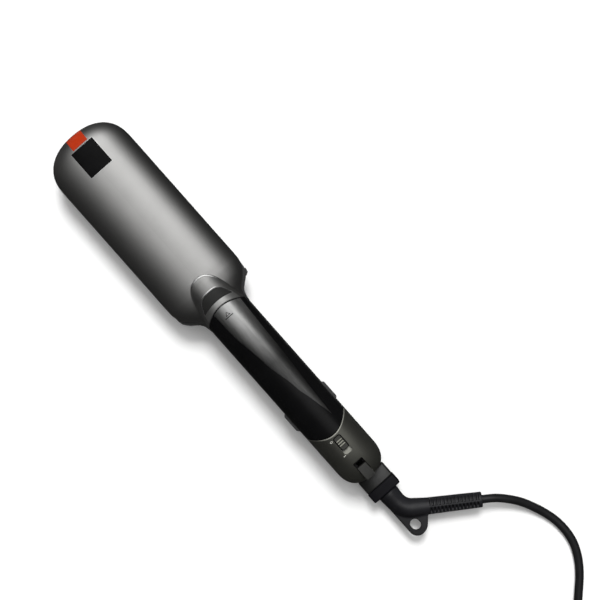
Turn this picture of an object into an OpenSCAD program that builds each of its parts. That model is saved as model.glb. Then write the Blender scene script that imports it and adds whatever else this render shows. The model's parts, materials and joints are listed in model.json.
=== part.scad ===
// Steam hair straightener lying closed on a table: two hinged arms with
// floating plates, a lift-out water tank in the upper handle, a slide switch,
// a closing lock, two tank release buttons and a swivelling cord outlet.
// Frame: +X towards the cord, +Y across, +Z up, table at Z = 0.

/* [Head] */
// Half width of the plate head
head_hw = 30.9; // [30.5:0.1:31.3]
// Length of the rounded tip of the head
tip_len = 26; // [24:0.5:28]
// Roundness exponent of the tip seen from above
tip_n = 2.35; // [2:0.05:3]
// Crown height of the upper head shell above its rim
crown = 17.1; // [16:0.1:17.4]
// Depth of the lower head shell below its rim
belly = 17.5; // [16.5:0.1:17.5]
// Wall thickness of the head shells
head_wall = 1.6; // [1.2:0.1:2]

/* [Handle] */
// Half width of the handle
handle_hw = 17.05; // [16.9:0.05:17.2]
// Wall thickness of the handle mouldings
handle_wall = 1.8; // [1.5:0.1:2]
// Height of the parting plane between the tank and the handle frame
tank_seam = 32.5; // [32.4:0.1:33]
// Half width of the tank keel that sits in the handle frame
keel_hw = 12; // [11:0.1:12]

/* [Plates] */
// Length of a heating plate
plate_len = 112; // [108:1:112]
// Half width of a heating plate
plate_hw = 22; // [20:0.5:22]
// Number of steam slots beside the upper plate
steam_slots = 8; // [4:1:8]

/* [Hinge] */
// Radius of the hinge pin
pin_r = 2; // [1.8:0.1:2]
// Running clearance of the hinge bushes on the pin
pin_fit = 0.06; // [0.02:0.01:0.09]

/* [Controls] */
// Height that the release buttons stand out of the handle
release_out = 1.5; // [1.3:0.1:1.6]
// Radius of the round buttons inside the handle
button_r = 3.2; // [3:0.1:3.3]

/* [Cord] */
// Diameter of the mains cord
cord_d = 6.1; // [6:0.1:6.2]
// Height of the swivel axis above the table
swivel_z = 13; // [12.9:0.1:13.1]
// Radius of the swivel barrel
barrel_r = 5; // [4.8:0.05:5]
// Number of ribs on the strain relief
ribs = 13; // [9:1:14]

/* [Hidden] */

tip_x = -166.7;              // front end of the head, before its nose is blunted
tip_c = tip_x + tip_len;     // where the tip starts to round
rim_u = 26.5;                // rim height of the upper shells, and centre of every upper section
rim_l = 18.5;                // rim height of the lower head shell
nh = 2.3;                    // exponent of the upper sections
nl = 2.8;                    // exponent of the lower sections
deck = 45.6;                 // top of the handle
pivot_x = 140;
pivot_z = 22.5;
seam_k = 0.0207;             // plan curvature of the neck seams, x = x0 + k y^2
tail_k = 0.0295;             // plan curvature of the tank's rear edge
neck_x = -8.4;               // seam between the neck ring and the tank
tank_back = 109;             // rear apex of the tank
tail_x = 149.4;              // rear end of the tail housing
plate_x0 = -30 - plate_len;  // front end of the plates
plate_x1 = -30;
coil_c = [333.7, -16];       // centre of the cord coil
coil_r = 33.1;               // middle of its turns
coil_z = 0.8;
// Route of the cord's free stretch from the strain relief to the coil
route = [[216.15, 46.7, 13], [222, 54.6, 12.2], [229, 61, 10.4], [236.5, 66.2, 8], [245, 70.4, 5.6], [254.5, 74, 3.9],
    [264.5, 76.5, 3.2], [274.5, 77, 3.1], [284, 75.6, 3.1], [292, 72.4, 3.1], [299.5, 67.8, 3.1], [306.5, 62, 3.1],
    [314, 54.5, 3.1], [322, 46.5, 3.1], [333, 36.6, 3.2], [344, 26.9, 3.5], [353, 19, 3.8], [359.7, 13.4, 3.9]];

// ---- curves -------------------------------------------------------------
function se_r(a, b, n, t) = pow(pow(abs(cos(t)) / a, n) + pow(abs(sin(t)) / b, n), -1 / n);
function se_y(a, b, n, y) = abs(y) >= a ? 0 : b * pow(1 - pow(abs(y) / a, n), 1 / n);
// half width of the head seen from above, by hand from its outline
function shoulder(x) = lookup(x, [[-25, 30.9], [-20.7, 30.3], [-16.5, 28.8], [-12.3, 25.6], [-8.1, 21.5], [-4, 18.2], [-1, 17.4], [2, 17.1], [20, 17.05]]);
function hw(x) = x < tip_c ? se_y(tip_len, head_hw, tip_n, min(tip_c - x, tip_len - 0.01))
    : x < -25 ? head_hw : min(head_hw, shoulder(x));
function nose(x, h, n) = x < tip_c ? se_y(tip_len, h, n, min(tip_c - x, tip_len - 0.01)) : h;
function uh(x) = x < -45 ? nose(x, crown, 3) : min(crown, lookup(x, [[-45, 17.1], [-34, 16.9], [-28, 16.4], [-21, 15.2], [-15, 13.6], [-9, 11.8], [-3, 10.5], [2, 10]]));
function ld(x) = x < -45 ? nose(x, belly, 2.6) : min(belly, lookup(x, [[-45, 17.5], [-20, 17.2], [-9, 16.6], [2, 16.2]]));
// raised fairing that runs from the head up to the handle
function fair_a(x) = x <= -33.2 ? 0.01 : 16.5 * sqrt(1 - pow(min(max((-8.4 - x) / 24.9, 0), 0.999), 2));
function fair_b(x) = lookup(x, [[-34, 17.9], [-20, 18.5], [-8, 18.7]]);
function upper_r(x, t, drop) = max(se_r(hw(x), uh(x), nh, t), x <= -33 ? 0 : se_r(fair_a(x), fair_b(x), nh, t) - drop);
function top_z(x, y) = rim_u + se_y(hw(x), uh(x), nh, y);
// top line of the handle seen from the side, falling off at the tail
function roof(x, d) = x < 112 ? deck - d : rim_u + se_y(tail_x - 110 - d, deck - rim_u - d, 3.2, min(x - 110, tail_x - 110.01 - d));

// ---- plan outlines ------------------------------------------------------
function tip_arc(i) = [for (t = [90:7.5:270]) [tip_c + (tip_len - i) * sign(cos(t)) * pow(abs(cos(t)), 2 / tip_n),
    (head_hw - i) * sign(sin(t)) * pow(abs(sin(t)), 2 / tip_n)]];
frame_w = [[-30, 30.1], [-23.5, 30.1], [-20, 29.9], [-17, 29.2], [-14.5, 27.5], [-12.4, 25.6], [-10.3, 22.8], [-8.2, 20.3], [-6.1, 18.8], [-4, 18.05], [-1.9, 17.6], [1, 17.2]];
function frame_hw(x, i) = lookup(x, frame_w) - i;
module head_plan(i, x1) polygon(concat([[x1, frame_hw(x1, i)]], [for (k = [len(frame_w) - 2:-1:0]) [frame_w[k][0], frame_w[k][1] - i]],
    tip_arc(i + 0.8), [for (k = [0:len(frame_w) - 2]) [frame_w[k][0], i - frame_w[k][1]]], [[x1, -frame_hw(x1, i)]]));
module lip_plan(i, x1) polygon(concat([for (x = [x1, -8, -12, -16, -20, -25]) [x, hw(x) - i]],
    tip_arc(i), [for (x = [-25, -20, -16, -12, -8, x1]) [x, -(hw(x) - i)]]));
// handle outline: x1 is its rear end, i an inset
module tail_plan(x0, i) polygon(concat([[x0, -handle_hw + i]],
    [for (t = [-90:7.5:90]) [131.6 + (tail_x - 131.6 - i) * pow(abs(cos(t)), 2 / 2.6), (handle_hw - i) * sign(sin(t)) * pow(abs(sin(t)), 2 / 2.6)]],
    [[x0, handle_hw - i]]));
module arc_front(x0, k) polygon(concat([for (y = [-20:1:20]) [x0 + k * y * y, y]], [[260, 20], [260, -20]]));
module arc_back(x0, k) polygon(concat([for (y = [-20:1:20]) [x0 - k * y * y, y]], [[-60, 20], [-60, -20]]));

// ---- sections -----------------------------------------------------------
// runs a drawing in the Y-Z plane along X from x0 to x1
module along_x(x0, x1) translate([x0, 0, 0]) rotate([90, 0, 90]) linear_extrude(x1 - x0) children();
// runs a drawing in the X-Z plane across, from -w to w
module across(w) translate([0, w, 0]) rotate([90, 0, 0]) linear_extrude(2 * w) children();
module upper_sec(a, b, z0) intersection() {
    polygon([for (k = [0:44]) let (t = k * 180 / 44, r = se_r(a, b, nh, t)) [r * cos(t), rim_u + r * sin(t)]]);
    translate([-30, z0]) square([60, 40]);
}
module lower_sec(a, b, z1) polygon([for (k = [0:40]) let (t = -k * 180 / 40, r = se_r(a, b, nl, t)) [r * cos(t), z1 + r * sin(t)]]);
module rrect(x0, x1, w, r, z0, z1) translate([0, 0, z0]) linear_extrude(z1 - z0) union() {
    translate([x0 + r, -w]) square([x1 - x0 - 2 * r, 2 * w]);
    translate([x0, -w + r]) square([x1 - x0, 2 * w - 2 * r]);
    for (x = [x0 + r, x1 - r], y = [-w + r, w - r]) translate([x, y]) circle(r, $fn = 32);
}
module box(a, b) translate(a) cube(b - a);
module y_cyl(x, z, r, y0, y1) translate([x, y0, z]) rotate([-90, 0, 0]) cylinder(r = r, h = y1 - y0, $fn = 48);
module x_cyl(y, z, r, x0, x1) translate([x0, y, z]) rotate([0, 90, 0]) cylinder(r = r, h = x1 - x0, $fn = 48);

// ---- shells -------------------------------------------------------------
// shell between two stacks of arch rings, closed at the front, open below and behind
module shell(outer, inner) {
    n = len(outer);
    m = len(outer[0]);
    function o(i, j) = i * m + j;
    function q(i, j) = n * m + i * m + j;
    polyhedron(points = concat([for (r = outer) each r], [for (r = inner) each r]), faces = concat(
        [for (i = [0:n - 2], j = [0:m - 2]) each [[o(i, j), o(i, j + 1), o(i + 1, j + 1)], [o(i, j), o(i + 1, j + 1), o(i + 1, j)]]],
        [for (i = [0:n - 2], j = [0:m - 2]) each [[q(i, j), q(i + 1, j + 1), q(i, j + 1)], [q(i, j), q(i + 1, j), q(i + 1, j + 1)]]],
        [[for (j = [m - 1:-1:0]) o(0, j)], [for (j = [0:m - 1]) q(0, j)], [o(0, 0), q(0, 0), q(0, m - 1)], [o(0, 0), q(0, m - 1), o(0, m - 1)]],
        [for (i = [0:n - 2]) each [[o(i, 0), o(i + 1, 0), q(i + 1, 0)], [o(i, 0), q(i + 1, 0), q(i, 0)],
            [o(i, m - 1), q(i + 1, m - 1), o(i + 1, m - 1)], [o(i, m - 1), q(i, m - 1), q(i + 1, m - 1)]]],
        [for (j = [0:m - 2]) each [[o(n - 1, j), o(n - 1, j + 1), q(n - 1, j + 1)], [o(n - 1, j), q(n - 1, j + 1), q(n - 1, j)]]]));
}
// stations along the head: [x at the centre, how far the ring's ends bend back, drop of the fairing]
up_st = [[0.4, 0, 0], [1.6, 0, 0], [3.8, 0, 0], [7, 0, 0], [11.5, 0, 0], [17.5, 0, 0], [25, 0, 0], [50, 0, 0], [85, 0, 0], [118, 0, 0],
    [128, 0.8, 0], [132.9, 2, 0], [133.9, 2.4, 0], [137, 3.6, 0], [140.5, 4.8, 0], [143.5, 6, 0], [145.4, 6.8, 0], [145.7, 7, 2.2],
    [149, 7, 2.2], [152, 7, 2.2], [155, 7, 2.2], [157.6, 7, 2.2]];
angs = [for (k = [0:22]) k * 180 / 22];
function ring_u(s, in, f) = let (x0 = tip_x + s[0]) [for (t = angs) let (xo = x0 + s[1] * pow(cos(t), 2),
    x = in ? xo + 1.6 * (1 - (xo - tip_x) / 158) : xo, r = upper_r(x, t, s[2]) - (in ? head_wall : 0)) [x, r * cos(t), rim_u + r * sin(t)]];
lo_st = [0.4, 1.6, 3.8, 7, 11.5, 17.5, 25, 55, 90, 120, 141.3, 145.6, 149.8, 154, 158.2, 162.3, 165.3, 167.3];
function ring_l(s, in) = let (xo = tip_x + s, x = in ? xo + 1.6 * (1 - s / 167.3) : xo)
    [for (k = [22:-1:0]) let (t = angs[k], r = se_r(hw(x), ld(x), nl, t) - (in ? head_wall : 0)) [x, -r * cos(t) * -1, rim_l - r * sin(t)]];
// thin pad that follows the crown of the head
module crown_pad(x0, x1, y0, y1, lift, nx, ny, lean) {
    pt = function (i, j, d) let (x = x0 + (x1 - x0) * i / nx, y = y0 + (y1 - y0) * j / ny) [x - lean * d, y, top_z(x, y) + d];
    m = ny + 1;
    n = (nx + 1) * m;
    top = [for (i = [0:nx], j = [0:ny]) pt(i, j, lift)];
    bot = [for (i = [0:nx], j = [0:ny]) pt(i, j, -0.35)];
    edge = concat([for (i = [0:nx]) i * m], [for (j = [1:ny]) nx * m + j], [for (i = [nx - 1:-1:0]) i * m + ny], [for (j = [ny - 1:-1:1]) j]);
    polyhedron(points = concat(top, bot), faces = concat(
        [for (i = [0:nx - 1], j = [0:ny - 1]) each [[i * m + j, i * m + j + 1, (i + 1) * m + j + 1], [i * m + j, (i + 1) * m + j + 1, (i + 1) * m + j]]],
        [for (i = [0:nx - 1], j = [0:ny - 1]) each [[n + i * m + j, n + (i + 1) * m + j + 1, n + i * m + j + 1], [n + i * m + j, n + (i + 1) * m + j, n + (i + 1) * m + j + 1]]],
        [for (k = [0:len(edge) - 1]) let (a = edge[k], b = edge[(k + 1) % len(edge)]) each [[a, b, n + b], [a, n + b, n + a]]]));
}

// ---- lower arm ----------------------------------------------------------
module lower_head_shell() color("#6e6e6c") shell([for (s = lo_st) ring_l(s, false)], [for (s = lo_st) ring_l(s, true)]);

screw_at = [for (x = [14, 118], y = [-6, 6]) [x, y]];
module lower_handle_shell() color("#1b1b1c") difference() {
    union() {
        difference() {
            intersection() {
                along_x(1.3, 149) lower_sec(handle_hw, 19.6, 21.9);
                translate([0, 0, -1]) linear_extrude(40) tail_plan(0, 0);
            }
            intersection() {
                along_x(1.2, 147.2) translate([0, 0.001]) lower_sec(handle_hw - handle_wall, 17.8, 21.95);
                translate([0, 0, -2]) linear_extrude(42) tail_plan(0, handle_wall);
            }
        }
        for (p = screw_at) translate([p[0], p[1], 3.6]) cylinder(r = 4.2, h = 3.4, $fn = 40);
        for (s = [-1, 1]) {
            box([136.2, s * 9 - 1.6, 5.2], [143.8, s * 9 + 1.6, 22.5]);
            y_cyl(pivot_x, pivot_z, 3.8, s * 9 - 1.6, s * 9 + 1.6);
        }
    }
    for (p = screw_at) translate([p[0], p[1], 0]) {
        cylinder(r = 3.1, h = 5.2, $fn = 40);
        cylinder(r = 1.6, h = 9, $fn = 32);
    }
    y_cyl(pivot_x, pivot_z, pin_r + 0.03, -14, 14);
    x_cyl(0, swivel_z, barrel_r + 0.4, 146, 150);
    // relief behind the pivot, so that the upper tail can swing down
    for (s = [-1, 1]) across_band(s * 14.3, 3.4);
    across_band(0, 7.2);
}
module across_band(y, w) translate([0, y + w, 0]) rotate([90, 0, 0]) linear_extrude(2 * w) polygon([[138.5, 22.1], [138.5, 34], [152, 34], [152, 18.5]]);

module lower_plate_frame() color("#161617") difference() {
    union() {
        translate([0, 0, 18.6]) linear_extrude(2.3) head_plan(0, 1);
        translate([0, 0, 17]) linear_extrude(1.7) lip_plan(2.7, -4);
        for (x = [-136, -36]) {
            box([x - 4, -26, 10.8], [x + 4, 26, 12.6]);
            for (s = [-1, 1]) box([x - 4, s * 25.5 - 0.7, 10.8], [x + 4, s * 25.5 + 0.7, 17.2]);
        }
    }
    rrect(plate_x0 - 0.4, plate_x1 + 0.4, plate_hw + 0.4, 3, 16.8, 24);
}
module lower_plate() color("#8f6f55") union() {
    rrect(plate_x0, plate_x1, plate_hw, 2.6, 16.8, 22.35);
    rrect(plate_x0 - 2.4, plate_x1 + 2.4, plate_hw + 2.2, 2.6, 15.4, 16.9);
}
module lower_heater() color("#d9d5cc") box([-130, -9, 14.4], [-42, 9, 15.4]);
module wave_spring(x, y, z0, z1) translate([x, y, z0]) rotate_extrude($fn = 36) polygon(concat(
    [for (k = [0:4]) [3.4 - (k % 2) * 0.5, k * (z1 - z0) / 4]], [for (k = [4:-1:0]) [2.6 - (k % 2) * 0.5, k * (z1 - z0) / 4]]));
module lower_float_springs() color("silver") for (x = [-136, -36], y = [-14, 14]) wave_spring(x, y, 12.6, 15.4);

module lower_inner_cover() color("#202021") difference() {
    union() {
        box([3, -14.7, 20.1], [130, 14.7, 21.7]);
        for (p = screw_at) translate([p[0], p[1], 7.1]) cylinder(r = 3.2, h = 13.2, $fn = 40);
    }
    for (x = [40, 54, 68]) translate([x, 0, 19]) cylinder(r = button_r + 0.25, h = 5, $fn = 40);
    box([84.8, -5.2, 19], [105.2, 5.2, 23]);
    for (p = screw_at) translate([p[0], p[1], 6]) cylinder(r = 1.45, h = 12, $fn = 32);
}
module control_board() color("#2f6b3c") difference() {
    union() {
        box([30, -11, 13.6], [110, 11, 15.2]);
        for (x = [40, 54, 68]) box([x - 2.5, -2.5, 15.2], [x + 2.5, 2.5, 16.5]);
        box([86, -4.5, 15.2], [104, 4.5, 19.6]);
    }
    for (y = [-8, 8]) translate([76, y, 13]) cylinder(r = 1.5, h = 4, $fn = 32);
}
module display_window() color("#0c0d10") box([85, -5, 19.7], [105, 5, 21.8]);
module round_button(x) translate([x, 0, 0]) union() {
    translate([0, 0, 17.5]) cylinder(r = button_r, h = 4.5, $fn = 40);
    translate([0, 0, 17.6]) cylinder(r = button_r + 1, h = 1.7, $fn = 40);
}
module power_button() color("#3a3a3b") round_button(68);
module plus_button() color("#3a3a3b") round_button(54);
module minus_button() color("#3a3a3b") round_button(40);
module inner_wires() color("#8a3326") for (y = [-1.6, 1.6]) x_cyl(y, 14.4, 0.8, 110, 143.9);

module cord_block() color("#232324") difference() {
    rotate([0, 0, 0]) along_x(149.05, 159.8) block_sec(11.35, 6.6);
    x_cyl(0, swivel_z, barrel_r + 0.06, 148, 161);
}
module block_sec(w, h) translate([0, swivel_z]) union() {
    square([2 * w, 2 * h - 4], center = true);
    square([2 * w - 4, 2 * h], center = true);
    for (y = [-1, 1], z = [-1, 1]) translate([y * (w - 2), z * (h - 2)]) circle(2, $fn = 32);
}
module cord_collar() color("#1a1a1c") difference() {
    along_x(159.8, 166.1) block_sec(11.7, 7.4);
    x_cyl(0, swivel_z, barrel_r + 0.06, 159, 167);
}
module hinge_pin() color("silver") y_cyl(pivot_x, pivot_z, pin_r, -13.8, 13.8);
module hinge_spring() color("silver") translate([pivot_x, -7, pivot_z]) rotate([-90, 0, 0]) rotate_extrude($fn = 36)
    polygon(concat([for (k = [0:20]) [3.6 - (k % 2) * 0.35, k * 0.7]], [for (k = [20:-1:0]) [2.7 - (k % 2) * 0.35, k * 0.7]]));
module rest_feet() color("#101010") union() {
    for (x = [-118, -52], y = [-9, 9]) translate([x, y, 0]) cylinder(r = 4, h = 1.7, $fn = 40);
    for (x = [100], y = [-6, 6]) translate([x, y, 0]) cylinder(r = 3.4, h = 3.2, $fn = 40);
}
module shell_screws() color("silver") for (p = screw_at) translate([p[0], p[1], 0]) difference() {
    union() {
        translate([0, 0, 3.7]) cylinder(r = 2.8, h = 1.5, $fn = 32);
        translate([0, 0, 5.1]) cylinder(r = 1.42, h = 11, $fn = 32);
    }
    for (a = [0, 90]) rotate([0, 0, a]) box([-1.6, -0.3, 3], [1.6, 0.3, 4.5]);
}

// ---- upper arm ----------------------------------------------------------
module upper_head_shell() color("#8d8d8a") difference() {
    shell([for (s = up_st) ring_u(s, false)], [for (s = up_st) ring_u(s, true)]);
    translate([0, 0, 32.1]) linear_extrude(20) arc_front(neck_x - 0.1, seam_k);
}

module neck_part(x0, x1, a, b, thick, xh) intersection() {
    difference() {
        along_x(-30, 10) upper_sec(a, b, rim_u + 4);
        along_x(-31, 11) upper_sec(a - thick, b - thick, rim_u);
        along_x(-31, 11) upper_sec(hw(xh) + 0.15, uh(xh) + 0.15, rim_u);
    }
    translate([0, 0, 20]) linear_extrude(40) difference() {
        arc_front(x0, seam_k);
        arc_front(x1, seam_k);
    }
}
module neck_band() color("#2b2b2a") neck_part(-20.4, -12.65, 15.4, 18.2, 1.5, -20.6);
module neck_ring() color("#b4b4b2") neck_part(-12.6, neck_x, 16.6, 18.9, 1.8, -12.6);

module upper_handle_frame() color("#141415") difference() {
    intersection() {
        along_x(-1.2, 149) polygon([[16.4, 22.7], [17.0, 24], [17.05, 26.5], [17.0, 28.2], [16.87, 30.2], [16.62, 32.2],
            [-16.62, 32.2], [-16.87, 30.2], [-17.0, 28.2], [-17.05, 26.5], [-17.0, 24], [-16.4, 22.7]]);
        translate([0, 0, 20]) linear_extrude(20) tail_plan(-3, 0);
    }
    intersection() {
        box([-5, -14.2, 24.5], [131, 14.2, 40]);
        translate([0, 0, 20]) linear_extrude(30) tail_plan(-6, 2.8);
    }
    box([-5, -20, 20], [0.8, 20, 26.7]);
    box([100.2, -20, 26], [160, 20, 40]);
    // open bay around the hinge, leaving a bush on each side wall
    difference() {
        translate([0, 0, 20]) linear_extrude(30) intersection() {
            tail_plan(131, 2.2);
            translate([130.9, -30]) square([30, 60]);
        }
        for (s = [-1, 1]) y_cyl(pivot_x, pivot_z, 3.4, s > 0 ? 11.2 : -17, s > 0 ? 17 : -11.2);
    }
    y_cyl(pivot_x, pivot_z, pin_r + pin_fit, -14.1, 14.1);
    for (s = [-1, 1]) box([76.9, s * 15.5 - 2.2, 24.9], [93.5, s * 15.5 + 2.2, 30.7]);
    box([131.5, -11.1, 20], [149.6, 11.1, 24.2]);
    box([143.6, -12.7, 20], [149.6, 12.7, 24.2]);
}
module tail_form(d, z0) intersection() {
    along_x(95, 155) upper_sec(handle_hw - d, deck - rim_u - d, z0);
    translate([0, 0, 20]) linear_extrude(40) intersection() {
        tail_plan(90, d);
        arc_like(tank_back + 0.4 + d, tail_k);
    }
    across(20) polygon(concat([[90, 22]], [[90, deck - d]], [for (k = [0:26]) let (x = 112 + (tail_x - 112 - d - 0.02) * k / 26) [x, roof(x, d)]], [[tail_x - d, 22]]));
}
module arc_like(x0, k) polygon(concat([for (y = [-20:1:20]) [x0 - k * y * y, y]], [[160, 20], [160, -20]]));
module tail_housing() color("#4f4f4a") difference() {
    tail_form(0, 26.3);
    translate([0, 0, -0.01]) intersection() {
        tail_form(1.6, 26.28);
        box([90, -30, 26], [160, 30, 60]);
    }
    rrect(111.05, 125.9, 3.35, 2, 40, 50);
    box([133.7, -4.1, 38.2], [151, 4.1, 50]);
    x_cyl(-8, 29.4, 1.9, 104, 114);
}
module switch_plate() color("#8f8f8c") rrect(111.25, 127, 4.4, 2, 41.2, 42.2);
module switch_board() color("#2f6b3c") union() {
    box([112.2, -7.5, 37.6], [129, 7.5, 39.2]);
    box([115, -3, 39.2], [124, 3, 41.2]);
}
module lock_tray() color("#0b0b0b") difference() {
    union() {
        box([132.9, -5.2, 36.6], [143.8, 5.2, 38]);
        for (s = [-1, 1]) box([132.9, s * 4.7 - 0.4, 36.6], [138.2, s * 4.7 + 0.4, 40.4]);
        box([132.9, -5.1, 36.6], [133.5, 5.1, 41.4]);
    }
    box([135.2, -2.3, 36], [146, 2.3, 39]);
}
module lock_slider() color("#3c3c3d") union() {
    across(3.6) polygon([[138, 38.4], [149, 38.4], [149, 40.6], [146.4, 42.2], [143, 43.2], [138, 43.8]]);
    box([140.2, -2, 37], [143.2, 2, 38.6]);
}
module steam_switch() color("#30302f") union() {
    rrect(111.25, 122.2, 3.1, 1.8, 42.35, 46);
    for (x = [114.6, 116.6, 118.6]) box([x - 0.4, -2.8, 45.9], [x + 0.4, 2.8, 46.5]);
}
module upper_plate_frame() color("#161617") difference() {
    union() {
        translate([0, 0, 24.1]) linear_extrude(2.3) head_plan(0, 0.5);
        translate([0, 0, 26.3]) linear_extrude(1.7) lip_plan(2.7, -4);
        for (x = [-136, -36]) {
            box([x - 4, -26, 32.4], [x + 4, 26, 34.2]);
            for (s = [-1, 1]) box([x - 4, s * 25.5 - 0.7, 27.8], [x + 4, s * 25.5 + 0.7, 34.2]);
        }
        // small finger tab at the shoulder
        translate([0, 0, 24.1]) linear_extrude(2.1) polygon([[-19.6, 28.6], [-17.3, 30.2], [-14.4, 29.5], [-13.1, 27.2], [-14, 24]]);
    }
    rrect(plate_x0 - 0.4, plate_x1 + 0.4, plate_hw + 0.4, 3, 22, 28.2);
    for (k = [0:steam_slots - 1]) let (x = -128 + k * 84 / (steam_slots - 1)) box([x - 3, 23.9, 23], [x + 3, 25.5, 29]);
}
module upper_plate() color("#8f6f55") union() {
    rrect(plate_x0, plate_x1, plate_hw, 2.6, 22.65, 28.2);
    rrect(plate_x0 - 2.4, plate_x1 + 2.4, plate_hw + 1.2, 2.6, 28.1, 29.6);
}
module upper_heater() color("#d9d5cc") box([-130, -9, 29.6], [-42, 9, 30.6]);
module steam_chamber() color("#b8bcc0") difference() {
    box([-118, -12, 30.6], [-60, 12, 35.6]);
    box([-116, -10, 31.6], [-62, 10, 34.6]);
    x_cyl(-8, 33.2, 0.9, -63, -59);
}
module upper_float_springs() color("silver") for (x = [-136, -36], y = [-14, 14]) wave_spring(x, y, 29.6, 32.4);
module water_pump() color("#46484c") union() {
    x_cyl(-6, 32, 5.2, 112, 128);
    x_cyl(-8, 29.4, 1.6, 109.5, 113);
}
module water_tube() color("#c9ced2") union() {
    x_cyl(-8, 29.4, 1.2, 106, 109.5);
    translate([106, -8, 26]) cylinder(r = 1.2, h = 3.4, $fn = 32);
    x_cyl(-8, 26, 1.2, 3, 106);
    translate([3, -8, 26]) cylinder(r = 1.2, h = 3.6, $fn = 32);
    x_cyl(-8, 29.6, 1.2, -14, 3);
    translate([-14, -8, 29.6]) cylinder(r = 1.2, h = 6.4, $fn = 32);
    x_cyl(-8, 36, 1.2, -46, -14);
    translate([-46, -8, 33.2]) cylinder(r = 1.2, h = 2.8, $fn = 32);
    x_cyl(-8, 33.2, 1.2, -59.6, -46);
    for (p = [[106, 29.4], [106, 26], [3, 26], [3, 29.6], [-14, 29.6], [-14, 36], [-46, 36], [-46, 33.2]]) translate([p[0], -8, p[1]]) sphere(r = 1.2, $fn = 24);
}
module tank_gasket() color("#7a1f17") translate([94, 5, 24.5]) difference() {
    cylinder(r = 3, h = 2.8, $fn = 36);
    translate([0, 0, -1]) cylinder(r = 1.5, h = 5, $fn = 36);
}
module badge_frame() color("silver") difference() {
    crown_pad(-155.1, -132.55, -8.7, 11.2, 0.4, 4, 4, 0);
    box([-154.5, -8.15, 30], [-133.15, 10.65, 60]);
}
module badge_plate() color("#0d0d0e") crown_pad(-154.45, -133.2, -8.1, 10.6, 0.3, 4, 4, 0);
module tip_accent() color("#c4390f") crown_pad(-165.5, -155.5, -5.1, 7.5, 0.3, 5, 4, 0.6);

// ---- water tank ---------------------------------------------------------
module tank_form(d, z0) intersection() {
    along_x(-10, 112) upper_sec(handle_hw - d, deck - rim_u - d, z0);
    translate([0, 0, 20]) linear_extrude(40) intersection() {
        arc_front(neck_x + 0.3 + d, seam_k);
        arc_back(tank_back - d, tail_k);
    }
}
module water_tank() color("#121213") difference() {
    union() {
        tank_form(0, tank_seam);
        box([8, -keel_hw, 27.4], [98, keel_hw, tank_seam + 1]);
    }
    tank_form(1.6, tank_seam + 1.6);
    box([9.5, -keel_hw + 1.5, 28.8], [96.5, keel_hw - 1.5, tank_seam + 3]);
    translate([20, 1, 26]) cylinder(r = 4, h = 4, $fn = 40);
}
// pale blade let into the top of the tank, its outline by hand
blade = [[-12, 14.2], [-3.4, 13.7], [22.7, 12.5], [39.9, 11.9], [57.8, 11], [75, 9.7], [92, 8.8], [98, 8.4], [88, 6.2], [79, 4.4],
    [71, 2.3], [62, 1], [53, -1.1], [44.7, -2.9], [35.8, -4.2], [22.7, -5.9], [13.8, -7.1], [-3, -7.6], [-12, -7.8]];
module tank_inlay() color("#7d7d7b") difference() {
    intersection() {
        along_x(-10, 112) upper_sec(handle_hw + 0.25, deck - rim_u + 0.25, tank_seam + 1);
        translate([0, 0, 30]) linear_extrude(30) intersection() {
            polygon(blade);
            arc_front(neck_x + 0.5, seam_k);
        }
    }
    along_x(-11, 113) upper_sec(handle_hw + 0.01, deck - rim_u + 0.01, 20);
}
module tank_cap() color("#8f1d14") translate([20, 1, 0]) union() {
    translate([0, 0, 27.3]) cylinder(r = 3.96, h = 2.4, $fn = 40);
    translate([0, 0, 25.9]) cylinder(r = 5.6, h = 1.45, $fn = 40);
}

// ---- release buttons ----------------------------------------------------
module release_button(s) mirror([0, s > 0 ? 0 : 1, 0]) translate([0, 0, 25.1]) linear_extrude(5.4)
    polygon([[77.2, 13.9], [93.2, 13.9], [93.2, 17.1], [91.6, 17.05 + release_out], [78.8, 17.05 + release_out], [77.2, 17.1]]);
module release_button_left() color("#2b2b2b") release_button(1);
module release_button_right() color("#2b2b2b") release_button(-1);

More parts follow.
